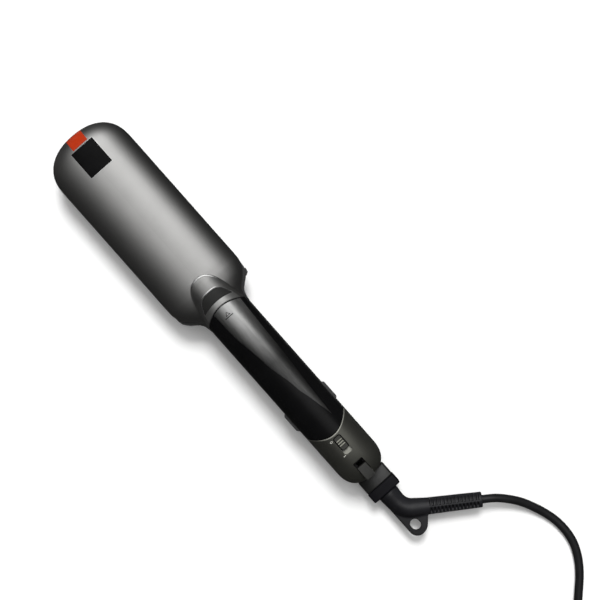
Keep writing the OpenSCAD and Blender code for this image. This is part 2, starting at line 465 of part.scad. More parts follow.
// ---- cord outlet, cord and plug ----------------------------------------
module swivel_barrel() color("#202022") difference() {
    x_cyl(0, swivel_z, barrel_r, 144, 166.3);
    x_cyl(0, swivel_z, 2.2, 143, 160);
}
module swivel_clip() color("silver") difference() {
    x_cyl(0, swivel_z, 6.8, 144.8, 146.2);
    x_cyl(0, swivel_z, barrel_r, 144, 148);
}
boot_a = [193.9, 14.4];
boot_b = [216.1, 46.6];
boot_ang = atan2(boot_b[1] - boot_a[1], boot_b[0] - boot_a[0]);
boot_len = norm(boot_b - boot_a);
elbow_r = 15;                // bend radius of the elbow's centre line
elbow_p = [boot_a[0] - boot_a[1] / tan(boot_ang), 0];
elbow_t = elbow_r * tan(boot_ang / 2);
module along_boot(d) translate([boot_a[0], boot_a[1], swivel_z]) rotate([0, 90, boot_ang]) translate([0, 0, d]) children();
module cord_boot() color("#1a1a1b") difference() {
    union() {
        x_cyl(0, swivel_z, 7.6, 166.3, elbow_p[0] - elbow_t + 2);
        translate([elbow_p[0] - elbow_t, elbow_r, swivel_z]) rotate([0, 0, -90]) rotate_extrude(angle = boot_ang, $fn = 72)
            translate([elbow_r, 0]) circle(6.9, $fn = 40);
        along_boot(-9.5) cylinder(r = 6.3, h = 8, $fn = 40);
        along_boot(-3) cylinder(r = 4.5, h = boot_len + 3, $fn = 40);
        along_boot(-2) cylinder(r = 5.9, h = 3.6, $fn = 40);
        for (k = [0:ribs - 1]) along_boot(2.8 + k * (boot_len - 4.4) / ribs) cylinder(r = 5.85 - 0.35 * k / ribs, h = 1.5, $fn = 40);
        along_boot(boot_len - 1.6) cylinder(r = 5.45, h = 1.6, $fn = 40);
        translate([0, 0, swivel_z - 2.6]) linear_extrude(5.2) polygon(concat([[170, 0], [172, -6.7]],
            [for (t = [-90:10:30]) [199.9 + 6.6 * cos(t), -0.1 + 6.6 * sin(t)]], [[204.2, 6.6], [201.4, 9.4], [198.2, 12], [195, 13], [186, 5]]));
    }
    translate([0, 0, swivel_z - 8]) linear_extrude(16) union() {
        for (d = [-0.9, 0.9]) translate([198.1 + d, -0.2]) circle(3.5, $fn = 36);
        translate([197.2, -3.7]) square([1.8, 7]);
    }
}
function dir_at(k) = let (a = route[max(k - 1, 0)], b = route[min(k + 1, len(route) - 1)]) (b - a) / norm(b - a);
module cord_tube() color("#151515") {
    m = 10;
    n = len(route);
    pts = [for (k = [0:n - 1]) let (d = k == 0 ? [cos(boot_ang), sin(boot_ang), 0] : dir_at(k), s = cross(d, [0, 0, 1]) / norm(cross(d, [0, 0, 1])), u = cross(s, d))
        for (j = [0:m - 1]) route[k] + cord_d / 2 * (cos(j * 36) * s + sin(j * 36) * u)];
    polyhedron(points = pts, faces = concat([[for (j = [0:m - 1]) j], [for (j = [m - 1:-1:0]) (n - 1) * m + j]],
        [for (k = [0:n - 2], j = [0:m - 1]) let (a = k * m + j, b = k * m + (j + 1) % m) each [[a, a + m, b + m], [a, b + m, b]]]));
}
module cord_coil() color("#151515") translate([coil_c[0], coil_c[1], coil_z]) rotate_extrude($fn = 96)
    translate([coil_r - 1.5 * cord_d, 0]) polygon([[1.5, 0], [3 * cord_d - 1.5, 0], [3 * cord_d, 1.5], [3 * cord_d, 3 * cord_d - 1.5],
        [3 * cord_d - 1.5, 3 * cord_d], [1.5, 3 * cord_d], [0, 3 * cord_d - 1.5], [0, 1.5]]);
plug_a = 228.5;
module at_coil(a) translate([coil_c[0], coil_c[1], 0]) rotate([0, 0, a]) children();
module cord_tie() color("#1e1e20") at_coil(plug_a - 115) difference() {
    box([coil_r - 1.5 * cord_d - 2.4, -6, 0], [coil_r + 1.5 * cord_d + 1.4, 6, coil_z + 3 * cord_d + 1]);
    box([coil_r - 1.5 * cord_d - 1.3, -7, coil_z - 0.1], [coil_r + 1.5 * cord_d + 0.3, 7, coil_z + 3 * cord_d + 0.1]);
}
plug_z = coil_z + 3 * cord_d + 0.05;
module plug_body() color("#18181a") at_coil(plug_a) translate([0, 18, plug_z]) linear_extrude(13.7)
    polygon([[30, -16], [29, -17], [18, -17], [4, -8], [-4, -5.4], [-4, 5.4], [4, 8], [18, 17], [29, 17], [30, 16]]);
module plug_pins() color("silver") at_coil(plug_a) for (y = [8.5, 27.5]) translate([30, y, plug_z + 6.85]) rotate([0, 90, 0]) cylinder(r = 2, h = 19, $fn = 40);

lower_head_shell();
lower_handle_shell();
lower_plate_frame();
lower_inner_cover();
control_board();
display_window();
inner_wires();
cord_block();
cord_collar();
hinge_pin();
hinge_spring();
rest_feet();
shell_screws();
lower_float_springs();
lower_plate();
lower_heater();
upper_head_shell();
neck_band();
neck_ring();
upper_handle_frame();
tail_housing();
switch_plate();
switch_board();
lock_tray();
upper_plate_frame();
water_pump();
water_tube();
tank_gasket();
upper_float_springs();
badge_plate();
badge_frame();
tip_accent();
upper_plate();
upper_heater();
steam_chamber();
water_tank();
tank_inlay();
tank_cap();
steam_switch();
lock_slider();
release_button_left();
release_button_right();
power_button();
plus_button();
minus_button();
swivel_barrel();
swivel_clip();
cord_boot();
cord_tube();
cord_coil();
cord_tie();
plug_body();
plug_pins();
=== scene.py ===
import json
import math

import bmesh
import bpy
import numpy as np
from mathutils import Matrix, Vector

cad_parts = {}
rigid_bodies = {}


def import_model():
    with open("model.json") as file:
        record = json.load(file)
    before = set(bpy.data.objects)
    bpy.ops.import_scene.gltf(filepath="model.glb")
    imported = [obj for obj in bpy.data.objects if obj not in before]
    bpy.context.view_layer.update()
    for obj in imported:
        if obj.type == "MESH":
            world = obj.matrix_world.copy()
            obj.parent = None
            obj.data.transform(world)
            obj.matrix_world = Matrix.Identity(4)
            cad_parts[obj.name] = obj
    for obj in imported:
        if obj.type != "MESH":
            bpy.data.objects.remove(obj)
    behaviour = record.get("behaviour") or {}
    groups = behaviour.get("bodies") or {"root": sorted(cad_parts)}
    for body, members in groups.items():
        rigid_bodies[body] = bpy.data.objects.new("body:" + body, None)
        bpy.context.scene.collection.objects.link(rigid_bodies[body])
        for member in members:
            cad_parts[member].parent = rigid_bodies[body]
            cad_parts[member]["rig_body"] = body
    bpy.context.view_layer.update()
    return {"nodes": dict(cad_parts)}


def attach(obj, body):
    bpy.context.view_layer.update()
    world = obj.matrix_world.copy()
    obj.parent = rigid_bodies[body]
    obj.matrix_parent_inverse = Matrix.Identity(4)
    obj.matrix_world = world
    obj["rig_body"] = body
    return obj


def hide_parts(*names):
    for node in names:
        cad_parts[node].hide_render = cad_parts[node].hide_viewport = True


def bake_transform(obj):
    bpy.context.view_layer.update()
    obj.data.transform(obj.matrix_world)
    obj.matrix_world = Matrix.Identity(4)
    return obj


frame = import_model()
node = frame["nodes"]
MM = 0.001
col = bpy.context.scene.collection


# ---- camera -------------------------------------------------------------
cam = bpy.data.objects.new("camera", bpy.data.cameras.new("camera"))
col.objects.link(cam)
cam.data.sensor_width = 36
cam.data.lens = 18 / 0.21
right, up = Vector((0.6626, 0.7490, 0)), Vector((-0.7490, 0.6626, 0))
cam.matrix_world = Matrix.Translation((0.0247, 0.0438, 1.027)) @ Matrix((right, up, right.cross(up))).transposed().to_4x4()
cam.data.clip_start, cam.data.clip_end = 0.05, 20
bpy.context.scene.camera = cam


# ---- curves shared with the CAD model (millimetres) -----------------------
def look(x, table):
    return float(np.interp(x, [p[0] for p in table], [p[1] for p in table]))


def smooth_look(x, table):
    """The same table as a smooth curve (monotone cubic)."""
    xs, ys = [p[0] for p in table], [p[1] for p in table]
    if x <= xs[0]:
        return ys[0]
    if x >= xs[-1]:
        return ys[-1]
    d = [(ys[i + 1] - ys[i]) / (xs[i + 1] - xs[i]) for i in range(len(xs) - 1)]
    m = [d[0]] + [0.0 if d[i - 1] * d[i] <= 0 else 2 * d[i - 1] * d[i] / (d[i - 1] + d[i]) for i in range(1, len(d))] + [d[-1]]
    i = max(k for k in range(len(xs) - 1) if xs[k] <= x)
    h = xs[i + 1] - xs[i]
    t = (x - xs[i]) / h
    return ((2 * t ** 3 - 3 * t ** 2 + 1) * ys[i] + (t ** 3 - 2 * t ** 2 + t) * h * m[i]
            + (-2 * t ** 3 + 3 * t ** 2) * ys[i + 1] + (t ** 3 - t ** 2) * h * m[i + 1])


def step(a, b, x):
    t = min(max((x - a) / (b - a), 0.0), 1.0)
    return t * t * (3 - 2 * t)


def se_r(a, b, n, t):
    return ((abs(math.cos(t)) / a) ** n + (abs(math.sin(t)) / b) ** n) ** (-1 / n)


def se_y(a, b, n, y):
    return 0.0 if abs(y) >= a else b * (1 - (abs(y) / a) ** n) ** (1 / n)


TIP_X, TIP_LEN = -166.3, 25.6
TIP_C = TIP_X + TIP_LEN
SHOULDER = [[-33.2, 30.9], [-27.2, 30.8], [-23, 30.0], [-19, 28.4], [-15.4, 25.6], [-12.8, 23.0], [-10.6, 20.6], [-8.2, 18.7], [-6.4, 17.8], [-3.5, 17.25], [0, 17.08], [6, 17.05]]
UH = [[-45, 17.1], [-34, 16.9], [-28, 16.4], [-21, 15.2], [-15, 13.6], [-9, 11.8], [-3, 10.5], [2, 10]]
LD = [[-45, 17.5], [-20, 17.2], [-9, 16.6], [2, 16.2]]
RIM_U, RIM_L, DECK = 26.5, 18.5, 45.6
NH, NL = 2.3, 2.8


def half_width(x):
    return se_y(TIP_LEN, 30.9, 2.35, min(TIP_C - x, TIP_LEN)) if x < TIP_C else smooth_look(x, SHOULDER)


def nose(x, h, n):
    return se_y(TIP_LEN, h, n, min(TIP_C - x, TIP_LEN)) if x < TIP_C else h


def crown_h(x):
    return nose(x, 17.1, 3) if x < -45 else smooth_look(x, UH)


def belly_h(x):
    return nose(x, 17.5, 2.6) if x < -45 else smooth_look(x, LD)


def crown_z(x, y):
    return RIM_U + se_y(half_width(x), crown_h(x), NH, y)


def deck_z(x, y):
    return RIM_U + se_y(17.05, 19.1, NH, y)


# ---- building meshes --------------------------------------------------------
def finish_mesh(name, verts, faces, mat, body, rep=(), smooth=True, bevel=0.0, segments=2, angle=32, weld=0.002, sharp=42, mats=None, face_mats=None):
    """Makes a piece from points in millimetres; joins double points, rounds its edges and rides it on a body."""
    bm = bmesh.new()
    vs = [bm.verts.new((v[0] * MM, v[1] * MM, v[2] * MM)) for v in verts]
    for i, f in enumerate(faces):
        f = [k for j, k in enumerate(f) if k != f[j - 1]]
        if len(set(f)) < 3:
            continue
        try:
            face = bm.faces.new([vs[k] for k in f])
        except ValueError:
            continue
        if face_mats:
            face.material_index = face_mats[i]
    bmesh.ops.remove_doubles(bm, verts=bm.verts, dist=weld * MM)
    bmesh.ops.dissolve_degenerate(bm, dist=1e-7, edges=bm.edges)
    loose = [v for v in bm.verts if not v.link_faces]
    bmesh.ops.delete(bm, geom=loose, context="VERTS")
    bmesh.ops.recalc_face_normals(bm, faces=bm.faces)
    return from_bm(name, bm, mat, body, rep, smooth, bevel, segments, angle, sharp, mats)


def from_bm(name, bm, mat, body, rep=(), smooth=True, bevel=0.0, segments=2, angle=32, sharp=42, mats=None):
    if bevel:
        edges = [e for e in bm.edges if len(e.link_faces) == 2 and e.calc_face_angle(0) > math.radians(angle)]
        bmesh.ops.bevel(bm, geom=edges, offset=bevel * MM, offset_type="OFFSET", segments=segments, profile=0.5, affect="EDGES", clamp_overlap=True, miter_outer="ARC")
    me = bpy.data.meshes.new(name)
    bm.to_mesh(me)
    bm.free()
    ob = bpy.data.objects.new(name, me)
    col.objects.link(ob)
    for m in mats or [mat]:
        me.materials.append(m)
    if smooth:
        me.polygons.foreach_set("use_smooth", [True] * len(me.polygons))
        me.set_sharp_from_angle(angle=math.radians(sharp))
        w = ob.modifiers.new("normals", "WEIGHTED_NORMAL")
        w.keep_sharp = True
        w.weight = 60
    if body:
        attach(ob, body)
    if rep:
        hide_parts(*rep)
    return ob


def grid_faces(nu, nv, base=0, close_v=False, flip=False):
    out = []
    for i in range(nu - 1):
        for j in range(nv if close_v else nv - 1):
            k = (j + 1) % nv
            f = [base + i * nv + j, base + (i + 1) * nv + j, base + (i + 1) * nv + k, base + i * nv + k]
            out.append(f[::-1] if flip else f)
    return out


def thick_grid(top, bot):
    """Closed solid between two grids of points of the same size."""
    nu, nv = len(top), len(top[0])
    verts = [p for r in top for p in r] + [p for r in bot for p in r]
    n = nu * nv
    faces = grid_faces(nu, nv) + grid_faces(nu, nv, n, flip=True)
    ring = [(i, 0) for i in range(nu)] + [(nu - 1, j) for j in range(1, nv)] + [(i, nv - 1) for i in range(nu - 2, -1, -1)] + [(0, j) for j in range(nv - 2, 0, -1)]
    ids = [i * nv + j for i, j in ring]
    for k in range(len(ids)):
        a, b = ids[k - 1], ids[k]
        faces.append([a, b, n + b, n + a])
    return verts, faces


def tube(line, radius, sides=14, up=Vector((0, 0, 1)), squash_z=1.0, caps=True):
    """Rings round a line of points in millimetres; radius is a number or one number a point."""
    pts = [Vector(p) for p in line]
    n = len(pts)
    rad = radius if hasattr(radius, "__len__") else [radius] * n
    verts, faces = [], []
    for k in range(n):
        d = (pts[min(k + 1, n - 1)] - pts[max(k - 1, 0)]).normalized()
        s = d.cross(up).normalized()
        u = s.cross(d)
        for j in range(sides):
            a = 2 * math.pi * j / sides
            verts.append(pts[k] + rad[k] * (math.cos(a) * s + math.sin(a) * u * squash_z))
    faces = grid_faces(n, sides, close_v=True)
    if caps:
        faces += [list(range(sides)), [(n - 1) * sides + j for j in range(sides)][::-1]]
    return verts, faces


def spline(points, step_mm):
    """Centripetal curve through the points, with points about step_mm apart."""
    p = [np.array(q, float) for q in points]
    p = [2 * p[0] - p[1]] + p + [2 * p[-1] - p[-2]]
    out = []
    for i in range(1, len(p) - 2):
        a, b, c, d = p[i - 1:i + 3]
        t0 = 0.0
        t1 = t0 + np.linalg.norm(b - a) ** 0.5
        t2 = t1 + np.linalg.norm(c - b) ** 0.5
        t3 = t2 + np.linalg.norm(d - c) ** 0.5
        n = max(2, int(round(np.linalg.norm(c - b) / step_mm)))
        for t in np.linspace(t1, t2, n, endpoint=False):
            a1 = (t1 - t) / (t1 - t0) * a + (t - t0) / (t1 - t0) * b
            a2 = (t2 - t) / (t2 - t1) * b + (t - t1) / (t2 - t1) * c
            a3 = (t3 - t) / (t3 - t2) * c + (t - t2) / (t3 - t2) * d
            b1 = (t2 - t) / (t2 - t0) * a1 + (t - t0) / (t2 - t0) * a2
            b2 = (t3 - t) / (t3 - t1) * a2 + (t - t1) / (t3 - t1) * a3
            out.append((t2 - t) / (t2 - t1) * b1 + (t - t1) / (t2 - t1) * b2)
    out.append(p[-2])
    return out


# ---- materials --------------------------------------------------------------
def material(name, color, rough=0.4, metallic=0.0, spread=0.12, mottle=90.0, grain=2600.0, bump=0.06, bump_mm=0.03,
             rough_spread=0.08, coat=0.0, coat_rough=0.1, specular=0.5, wear=0.0, wear_color=(0.5, 0.5, 0.5), along=None, ior=1.5):
    """Moulded or painted surface: broad uneven tone, fine grain in the roughness and the relief, and paler rubbed spots."""
    m = bpy.data.materials.new(name)
    m.use_nodes = True
    nt = m.node_tree
    b = nt.nodes["Principled BSDF"]
    n, link = nt.nodes.new, nt.links.new
    tc = n("ShaderNodeTexCoord")
    src = tc.outputs["Object"]
    if along:
        mp = n("ShaderNodeMapping")
        mp.inputs["Scale"].default_value = along
        link(src, mp.inputs["Vector"])
        src = mp.outputs["Vector"]
    broad = n("ShaderNodeTexNoise")
    broad.inputs["Scale"].default_value = mottle
    broad.inputs["Detail"].default_value = 4
    broad.inputs["Roughness"].default_value = 0.55
    link(src, broad.inputs["Vector"])
    ramp = n("ShaderNodeValToRGB")
    lo = [c * (1 - spread) for c in color]
    hi = [min(1, c * (1 + spread)) for c in color]
    ramp.color_ramp.elements[0].position, ramp.color_ramp.elements[1].position = 0.32, 0.68
    ramp.color_ramp.elements[0].color, ramp.color_ramp.elements[1].color = (*lo, 1), (*hi, 1)
    link(broad.outputs["Fac"], ramp.inputs["Fac"])
    base = ramp.outputs["Color"]
    fine = n("ShaderNodeTexNoise")
    fine.inputs["Scale"].default_value = grain
    fine.inputs["Detail"].default_value = 3
    link(src, fine.inputs["Vector"])
    if wear:
        rub = n("ShaderNodeTexNoise")
        rub.inputs["Scale"].default_value = 420
        rub.inputs["Detail"].default_value = 6
        rub.inputs["Roughness"].default_value = 0.7
        link(src, rub.inputs["Vector"])
        cut = n("ShaderNodeMapRange")
        cut.inputs["From Min"].default_value, cut.inputs["From Max"].default_value = 0.62, 0.76
        cut.inputs["To Max"].default_value = wear
        link(rub.outputs["Fac"], cut.inputs["Value"])
        mix = n("ShaderNodeMix")
        mix.data_type = "RGBA"
        mix.inputs["B"].default_value = (*wear_color, 1)
        link(cut.outputs["Result"], mix.inputs["Factor"])
        link(base, mix.inputs["A"])
        base = mix.outputs["Result"]
    link(base, b.inputs["Base Color"])
    rr = n("ShaderNodeMapRange")
    rr.inputs["To Min"].default_value, rr.inputs["To Max"].default_value = max(0.02, rough - rough_spread), min(1, rough + rough_spread)
    rr.inputs["From Min"].default_value, rr.inputs["From Max"].default_value = 0.3, 0.7
    link(fine.outputs["Fac"], rr.inputs["Value"])
    link(rr.outputs["Result"], b.inputs["Roughness"])
    if bump:
        bp = n("ShaderNodeBump")
        bp.inputs["Strength"].default_value = bump
        bp.inputs["Distance"].default_value = bump_mm * MM
        link(fine.outputs["Fac"], bp.inputs["Height"])
        link(bp.outputs["Normal"], b.inputs["Normal"])
    b.inputs["Metallic"].default_value = metallic
    b.inputs["Specular IOR Level"].default_value = specular
    b.inputs["IOR"].default_value = ior
    b.inputs["Coat Weight"].default_value = coat
    b.inputs["Coat Roughness"].default_value = coat_rough
    m.diffuse_color = (*color, 1)
    return m


def paint_light_by_place(m, *ramps, within=None):
    """Paints shade and highlight into a material's colour: multiplies it by ramps over its place on the object, each
    (axis, from, to, [(position, value), ...]).
    within is a ramp that stands for the first one inside the outline of the neck's fairing."""
    nt = m.node_tree
    n, link = nt.nodes.new, nt.links.new
    b = nt.nodes["Principled BSDF"]
    base = b.inputs["Base Color"].links[0].from_socket
    tc, sep = n("ShaderNodeTexCoord"), n("ShaderNodeSeparateXYZ")
    link(tc.outputs["Object"], sep.inputs["Vector"])

    def sums(op, a, *vals):
        node = n("ShaderNodeMath")
        node.operation = op
        link(a, node.inputs[0])
        for i, v in enumerate(vals):
            node.inputs[i + 1].default_value = v
        return node.outputs["Value"]

    def graded(axis, lo, hi, stops):
        src = sums("ABSOLUTE", sep.outputs["Y"]) if axis == "side" else sep.outputs[axis]
        rng = n("ShaderNodeMapRange")
        rng.inputs["From Min"].default_value, rng.inputs["From Max"].default_value = lo, hi
        link(src, rng.inputs["Value"])
        ramp = n("ShaderNodeValToRGB")
        els = ramp.color_ramp.elements
        els[0].position, els[1].position = stops[0][0], stops[-1][0]
        els[0].color, els[1].color = (*[stops[0][1]] * 3, 1), (*[stops[-1][1]] * 3, 1)
        for q, v in stops[1:-1]:
            els.new(q).color = (v, v, v, 1)
        link(rng.outputs["Result"], ramp.inputs["Fac"])
        return ramp.outputs["Color"]

    for k, r in enumerate(ramps):
        tone = graded(*r)
        if within and k == 0:
            edge = sums("POWER", sums("MAXIMUM", sums("MULTIPLY_ADD", sep.outputs["X"], 1000, 33.3), 0.001), 0.33)
            edge = sums("MULTIPLY_ADD", edge, 5.5, 0.2)
            gap = n("ShaderNodeMath")
            gap.operation = "SUBTRACT"
            link(edge, gap.inputs[0])
            link(sums("MULTIPLY", sums("ABSOLUTE", sep.outputs["Y"]), 1000), gap.inputs[1])
            mask = n("ShaderNodeMapRange")
            mask.interpolation_type = "SMOOTHSTEP"
            mask.inputs["From Min"].default_value, mask.inputs["From Max"].default_value = 0.3, 1.4
            link(gap.outputs["Value"], mask.inputs["Value"])
            pick = n("ShaderNodeMix")
            pick.data_type = "RGBA"
            link(mask.outputs["Result"], pick.inputs["Factor"])
            link(tone, pick.inputs["A"])
            link(graded(*within), pick.inputs["B"])
            tone = pick.outputs["Result"]
        mix = n("ShaderNodeMix")
        mix.data_type, mix.blend_type = "RGBA", "MULTIPLY"
        mix.inputs["Factor"].default_value = 1
        link(base, mix.inputs["A"])
        link(tone, mix.inputs["B"])
        base = mix.outputs["Result"]
    link(base, b.inputs["Base Color"])
    return m


def s2l(*rgb):
    """sRGB 0-255 to linear."""
    return tuple((c / 255 / 12.92) if c <= 10 else ((c / 255 + 0.055) / 1.055) ** 2.4 for c in rgb)


M = {
    # upper head: painted shade in the colour, darker towards the neck, darker towards both sides, and darker inside the
    # outline of the neck's fairing
    "head": paint_light_by_place(
        material("head_paint", (0.50, 0.497, 0.488), rough=0.5, metallic=1.0, spread=0.025, mottle=55, grain=5200, bump=0.05, bump_mm=0.02, rough_spread=0.04),
        ("X", -0.027, -0.012, [(0, 1.0), (1, 0.62)]), ("side", 0.017, 0.031, [(0, 1.0), (0.4, 0.9), (0.65, 0.74), (0.85, 0.62), (1, 0.45)]),
        within=("X", -0.034, -0.019, [(0, 0.86), (0.5, 0.74), (0.85, 0.7), (1, 0.82)])),
    "head_low": material("head_paint_lower", (0.42, 0.417, 0.41), rough=0.5, metallic=1.0, spread=0.03, mottle=55, grain=5200, bump=0.05, bump_mm=0.02, rough_spread=0.05, wear=0.12, wear_color=(0.42, 0.42, 0.41)),
    "handle": material("handle_black", (0.008, 0.008, 0.0085), rough=0.3, spread=0.2, mottle=60, grain=3000, bump=0.03, bump_mm=0.02, rough_spread=0.05, specular=0.35),
    "tank": material("tank_black", (0.0032, 0.0032, 0.0034), rough=0.34, spread=0.2, mottle=40, grain=2600, bump=0.02, bump_mm=0.015, rough_spread=0.05, specular=0.12),
    "soft": material("soft_black", (0.018, 0.018, 0.019), rough=0.52, spread=0.14, mottle=120, grain=2400, bump=0.12, bump_mm=0.05, rough_spread=0.08, specular=0.4),
    "collar": material("collar_black", (0.0042, 0.004, 0.0055), rough=0.5, spread=0.14, mottle=120, grain=2400, bump=0.12, bump_mm=0.05, specular=0.17),
    "frame": material("frame_black", (0.008, 0.008, 0.0085), rough=0.4, spread=0.16, mottle=110, grain=2600, bump=0.1, bump_mm=0.04, specular=0.4),
    "tail": material("tail_grey", (0.145, 0.145, 0.128), rough=0.55, metallic=0.93, spread=0.05, mottle=70, grain=3400, bump=0.12, bump_mm=0.04, specular=0.35),
    # pale strip at the tail's front edge: painted highlight
    "lip": material("tail_lip_highlight", s2l(150, 150, 142), rough=0.45, spread=0.06, mottle=70, grain=3400, bump=0.06, metallic=0.4),
    "block": material("block_black", (0.011, 0.011, 0.0105), rough=0.4, spread=0.12, mottle=90, grain=2600, bump=0.1, bump_mm=0.04, specular=0.6),
    "rib": material("rib_grey", s2l(128, 128, 118), rough=0.5, spread=0.08, mottle=200, grain=3400, bump=0.1, bump_mm=0.04, specular=0.35),
    "knob": material("knob_dark", (0.03, 0.03, 0.0265), rough=0.5, spread=0.08, mottle=160, grain=2600, bump=0.1, bump_mm=0.04, specular=0.35),
    "ring": material("ring_silver", (0.5, 0.5, 0.49), rough=0.52, metallic=0.97, spread=0.03, mottle=60, grain=4200, bump=0.05),
    # bright beads along the fairing's and the band's edges: painted highlight
    "edge": material("edge_highlight_paint", (0.95, 0.95, 0.94), rough=0.48, metallic=1.0, spread=0.03, mottle=200, grain=4200, bump=0.04),
    "band": material("band_black", (0.014, 0.014, 0.0135), rough=0.55, spread=0.08, mottle=80, grain=2600, bump=0.12, bump_mm=0.05, specular=0.3),
    "accent": material("accent_orange", (0.34, 0.023, 0.002), rough=0.42, spread=0.06, mottle=120, grain=3600, bump=0.05, specular=0.2),
    "badge": material("badge_black", (0.0026, 0.0026, 0.0028), rough=0.45, spread=0.25, mottle=150, grain=2800, bump=0.02, specular=0.07),
    "badge_edge": material("badge_edge", (0.6, 0.6, 0.59), rough=0.4, metallic=0.8, spread=0.04, mottle=200, grain=4200, bump=0.05),
    "rubber": material("soft_rubber", (0.011, 0.011, 0.013), rough=0.46, spread=0.16, mottle=130, grain=2200, bump=0.14, bump_mm=0.05, rough_spread=0.09, specular=0.45),
    # cord elbow: painted shade, darker over the hanging loop towards -Y
    "boot": paint_light_by_place(material("boot_rubber_shaded", (0.011, 0.011, 0.013), rough=0.46, spread=0.16, mottle=130, grain=2200, bump=0.14, bump_mm=0.05, rough_spread=0.09, specular=0.45), ("Y", -0.007, 0.004, [(0, 0.5), (0.5, 0.68), (1, 1)])),
    "cord": material("cord_rubber", (0.009, 0.009, 0.010), rough=0.44, spread=0.16, mottle=160, grain=1800, bump=0.12, bump_mm=0.05, rough_spread=0.08, specular=0.45),
    "feet": material("foot_rubber", (0.012, 0.012, 0.012), rough=0.75, spread=0.16, mottle=160, grain=1800, bump=0.25, bump_mm=0.06),
    "control": material("control_grey", (0.034, 0.034, 0.032), rough=0.5, spread=0.1, mottle=160, grain=2600, bump=0.14, bump_mm=0.05, specular=0.4),
    "slot": material("slot_grey", s2l(140, 140, 132), rough=0.5, spread=0.06, mottle=160, grain=2600, bump=0.1, bump_mm=0.04),
    "button": material("button_black", (0.02, 0.02, 0.021), rough=0.36, spread=0.1, mottle=160, grain=2600, bump=0.08, bump_mm=0.04, specular=0.45),
    "pit": material("pit_black", (0.004, 0.004, 0.004), rough=0.6, spread=0.2, mottle=120, grain=2400, bump=0.1, bump_mm=0.04, specular=0.25),
    "plate": material("plate_coat", (0.42, 0.30, 0.22), rough=0.3, metallic=0.85, spread=0.05, mottle=60, grain=3000, bump=0.08, bump_mm=0.02, along=(0.12, 1, 1), wear=0.15, wear_color=(0.5, 0.4, 0.32)),
    "ceramic": material("ceramic_white", (0.72, 0.69, 0.63), rough=0.55, spread=0.06, mottle=150, grain=2600, bump=0.2, bump_mm=0.05),
    "alu": material("cast_aluminium", (0.55, 0.56, 0.57), rough=0.5, metallic=0.95, spread=0.08, mottle=200, grain=2400, bump=0.3, bump_mm=0.06),
    "pcb": material("circuit_green", (0.02, 0.11, 0.045), rough=0.42, spread=0.18, mottle=300, grain=1500, bump=0.2, bump_mm=0.06),
    "wire": material("wire_red", (0.32, 0.03, 0.02), rough=0.45, spread=0.1, mottle=200, grain=2600, bump=0.1),
    "steel": material("steel", (0.56, 0.56, 0.56), rough=0.32, metallic=1.0, spread=0.05, mottle=150, grain=3000, bump=0.1, along=(1, 1, 1)),
    "nickel": material("nickel", (0.66, 0.64, 0.6), rough=0.22, metallic=1.0, spread=0.05, mottle=150, grain=3200, bump=0.05, wear=0.2, wear_color=(0.5, 0.48, 0.44)),
    "cap": material("cap_red", (0.28, 0.02, 0.012), rough=0.5, spread=0.1, mottle=160, grain=2200, bump=0.12),
    "window": material("smoked_window", (0.006, 0.006, 0.009), rough=0.1, spread=0.2, mottle=100, grain=2200, bump=0.01, rough_spread=0.03, coat=0.5, coat_rough=0.06),
    "clear": material("tube_clear", (0.62, 0.66, 0.68), rough=0.25, spread=0.05, mottle=150, grain=2200, bump=0.05),
    "mark": material("mark_white", s2l(190, 190, 182), rough=0.5, spread=0.06, mottle=400, grain=4000, bump=0.05),
    "mark_dark": material("mark_dark", (0.004, 0.004, 0.004), rough=0.6, specular=0.1, spread=0.15, mottle=400, grain=4000, bump=0.05),
    "seam": material("seam_black", (0.003, 0.003, 0.003), rough=0.7, spread=0.2, mottle=200, grain=2600, bump=0.05),
}


# ---- cord, in the CAD route's own points ----------------------------------------
CORD_D = 6.1
ROUTE = [[216.15, 46.7, 13], [222, 54.6, 12.2], [229, 61, 10.4], [236.5, 66.2, 8], [245, 70.4, 5.6], [254.5, 74, 3.9],
         [264.5, 76.5, 3.2], [274.5, 77, 3.1], [284, 75.6, 3.1], [292, 72.4, 3.1], [299.5, 67.8, 3.1], [306.5, 62, 3.1],
         [314, 54.5, 3.1], [322, 46.5, 3.1], [333, 36.6, 3.2], [344, 26.9, 3.5], [353, 19, 3.8], [359.7, 13.4, 3.9]]
COIL = (333.7, -16.0)
PLUG_A = 228.5
BOOT_A, BOOT_B = Vector((193.9, 14.4, 13)), Vector((216.1, 46.6, 13))
BOOT_DIR = (BOOT_B - BOOT_A).normalized()


def coil_line():
    """Turns of the coil, clockwise seen from above: each layer has three rings, and every ring steps to the next in the same place."""
    r0, r1, r2 = 39.2, 33.1, 27.0
    z0, z1, z2 = 3.9, 9.95, 16.05
    turns = [(r0, z0), (r1, z0), (r2, z0), (r2, z1), (r1, z1), (r0, z1), (r0, z2), (r1, z2)]
    out, total = [], 360 * 7 + 300
    for d in np.arange(2, total + 0.01, 3.0):
        k = int(min(d // 360, len(turns) - 1))
        part = d - 360 * k
        ra, za = turns[k]
        rb, zb = turns[min(k + 1, len(turns) - 1)]
        r = ra + (rb - ra) * step(308, 360, part)
        z = za + (zb - za) * step(262, 320, part)
        a = math.radians(48.5 - d)
        out.append(Vector((COIL[0] + r * math.cos(a), COIL[1] + r * math.sin(a), z)))
    return out


def plug_point(x, y, z):
    a = math.radians(PLUG_A)
    return Vector((COIL[0] + x * math.cos(a) - y * math.sin(a), COIL[1] + x * math.sin(a) + y * math.cos(a), z))


def cord_line():
    inner = [BOOT_B - BOOT_DIR * d for d in (12, 6)]
    free = [Vector(p) for p in spline([*inner, *ROUTE], 2.0)]
    turns = coil_line()
    last = []
    for d in np.arange(3, 150.1, 6.0):
        a = math.radians(240 - d)
        last.append(plug_point(-4.07 + 25 * math.cos(a), -7 + 25 * math.sin(a), 16.05 + (26.0 - 16.05) * step(0, 128, d)))
    last.append(plug_point(-1.5, 18, 26.0))
    return free[:-1] + turns + last


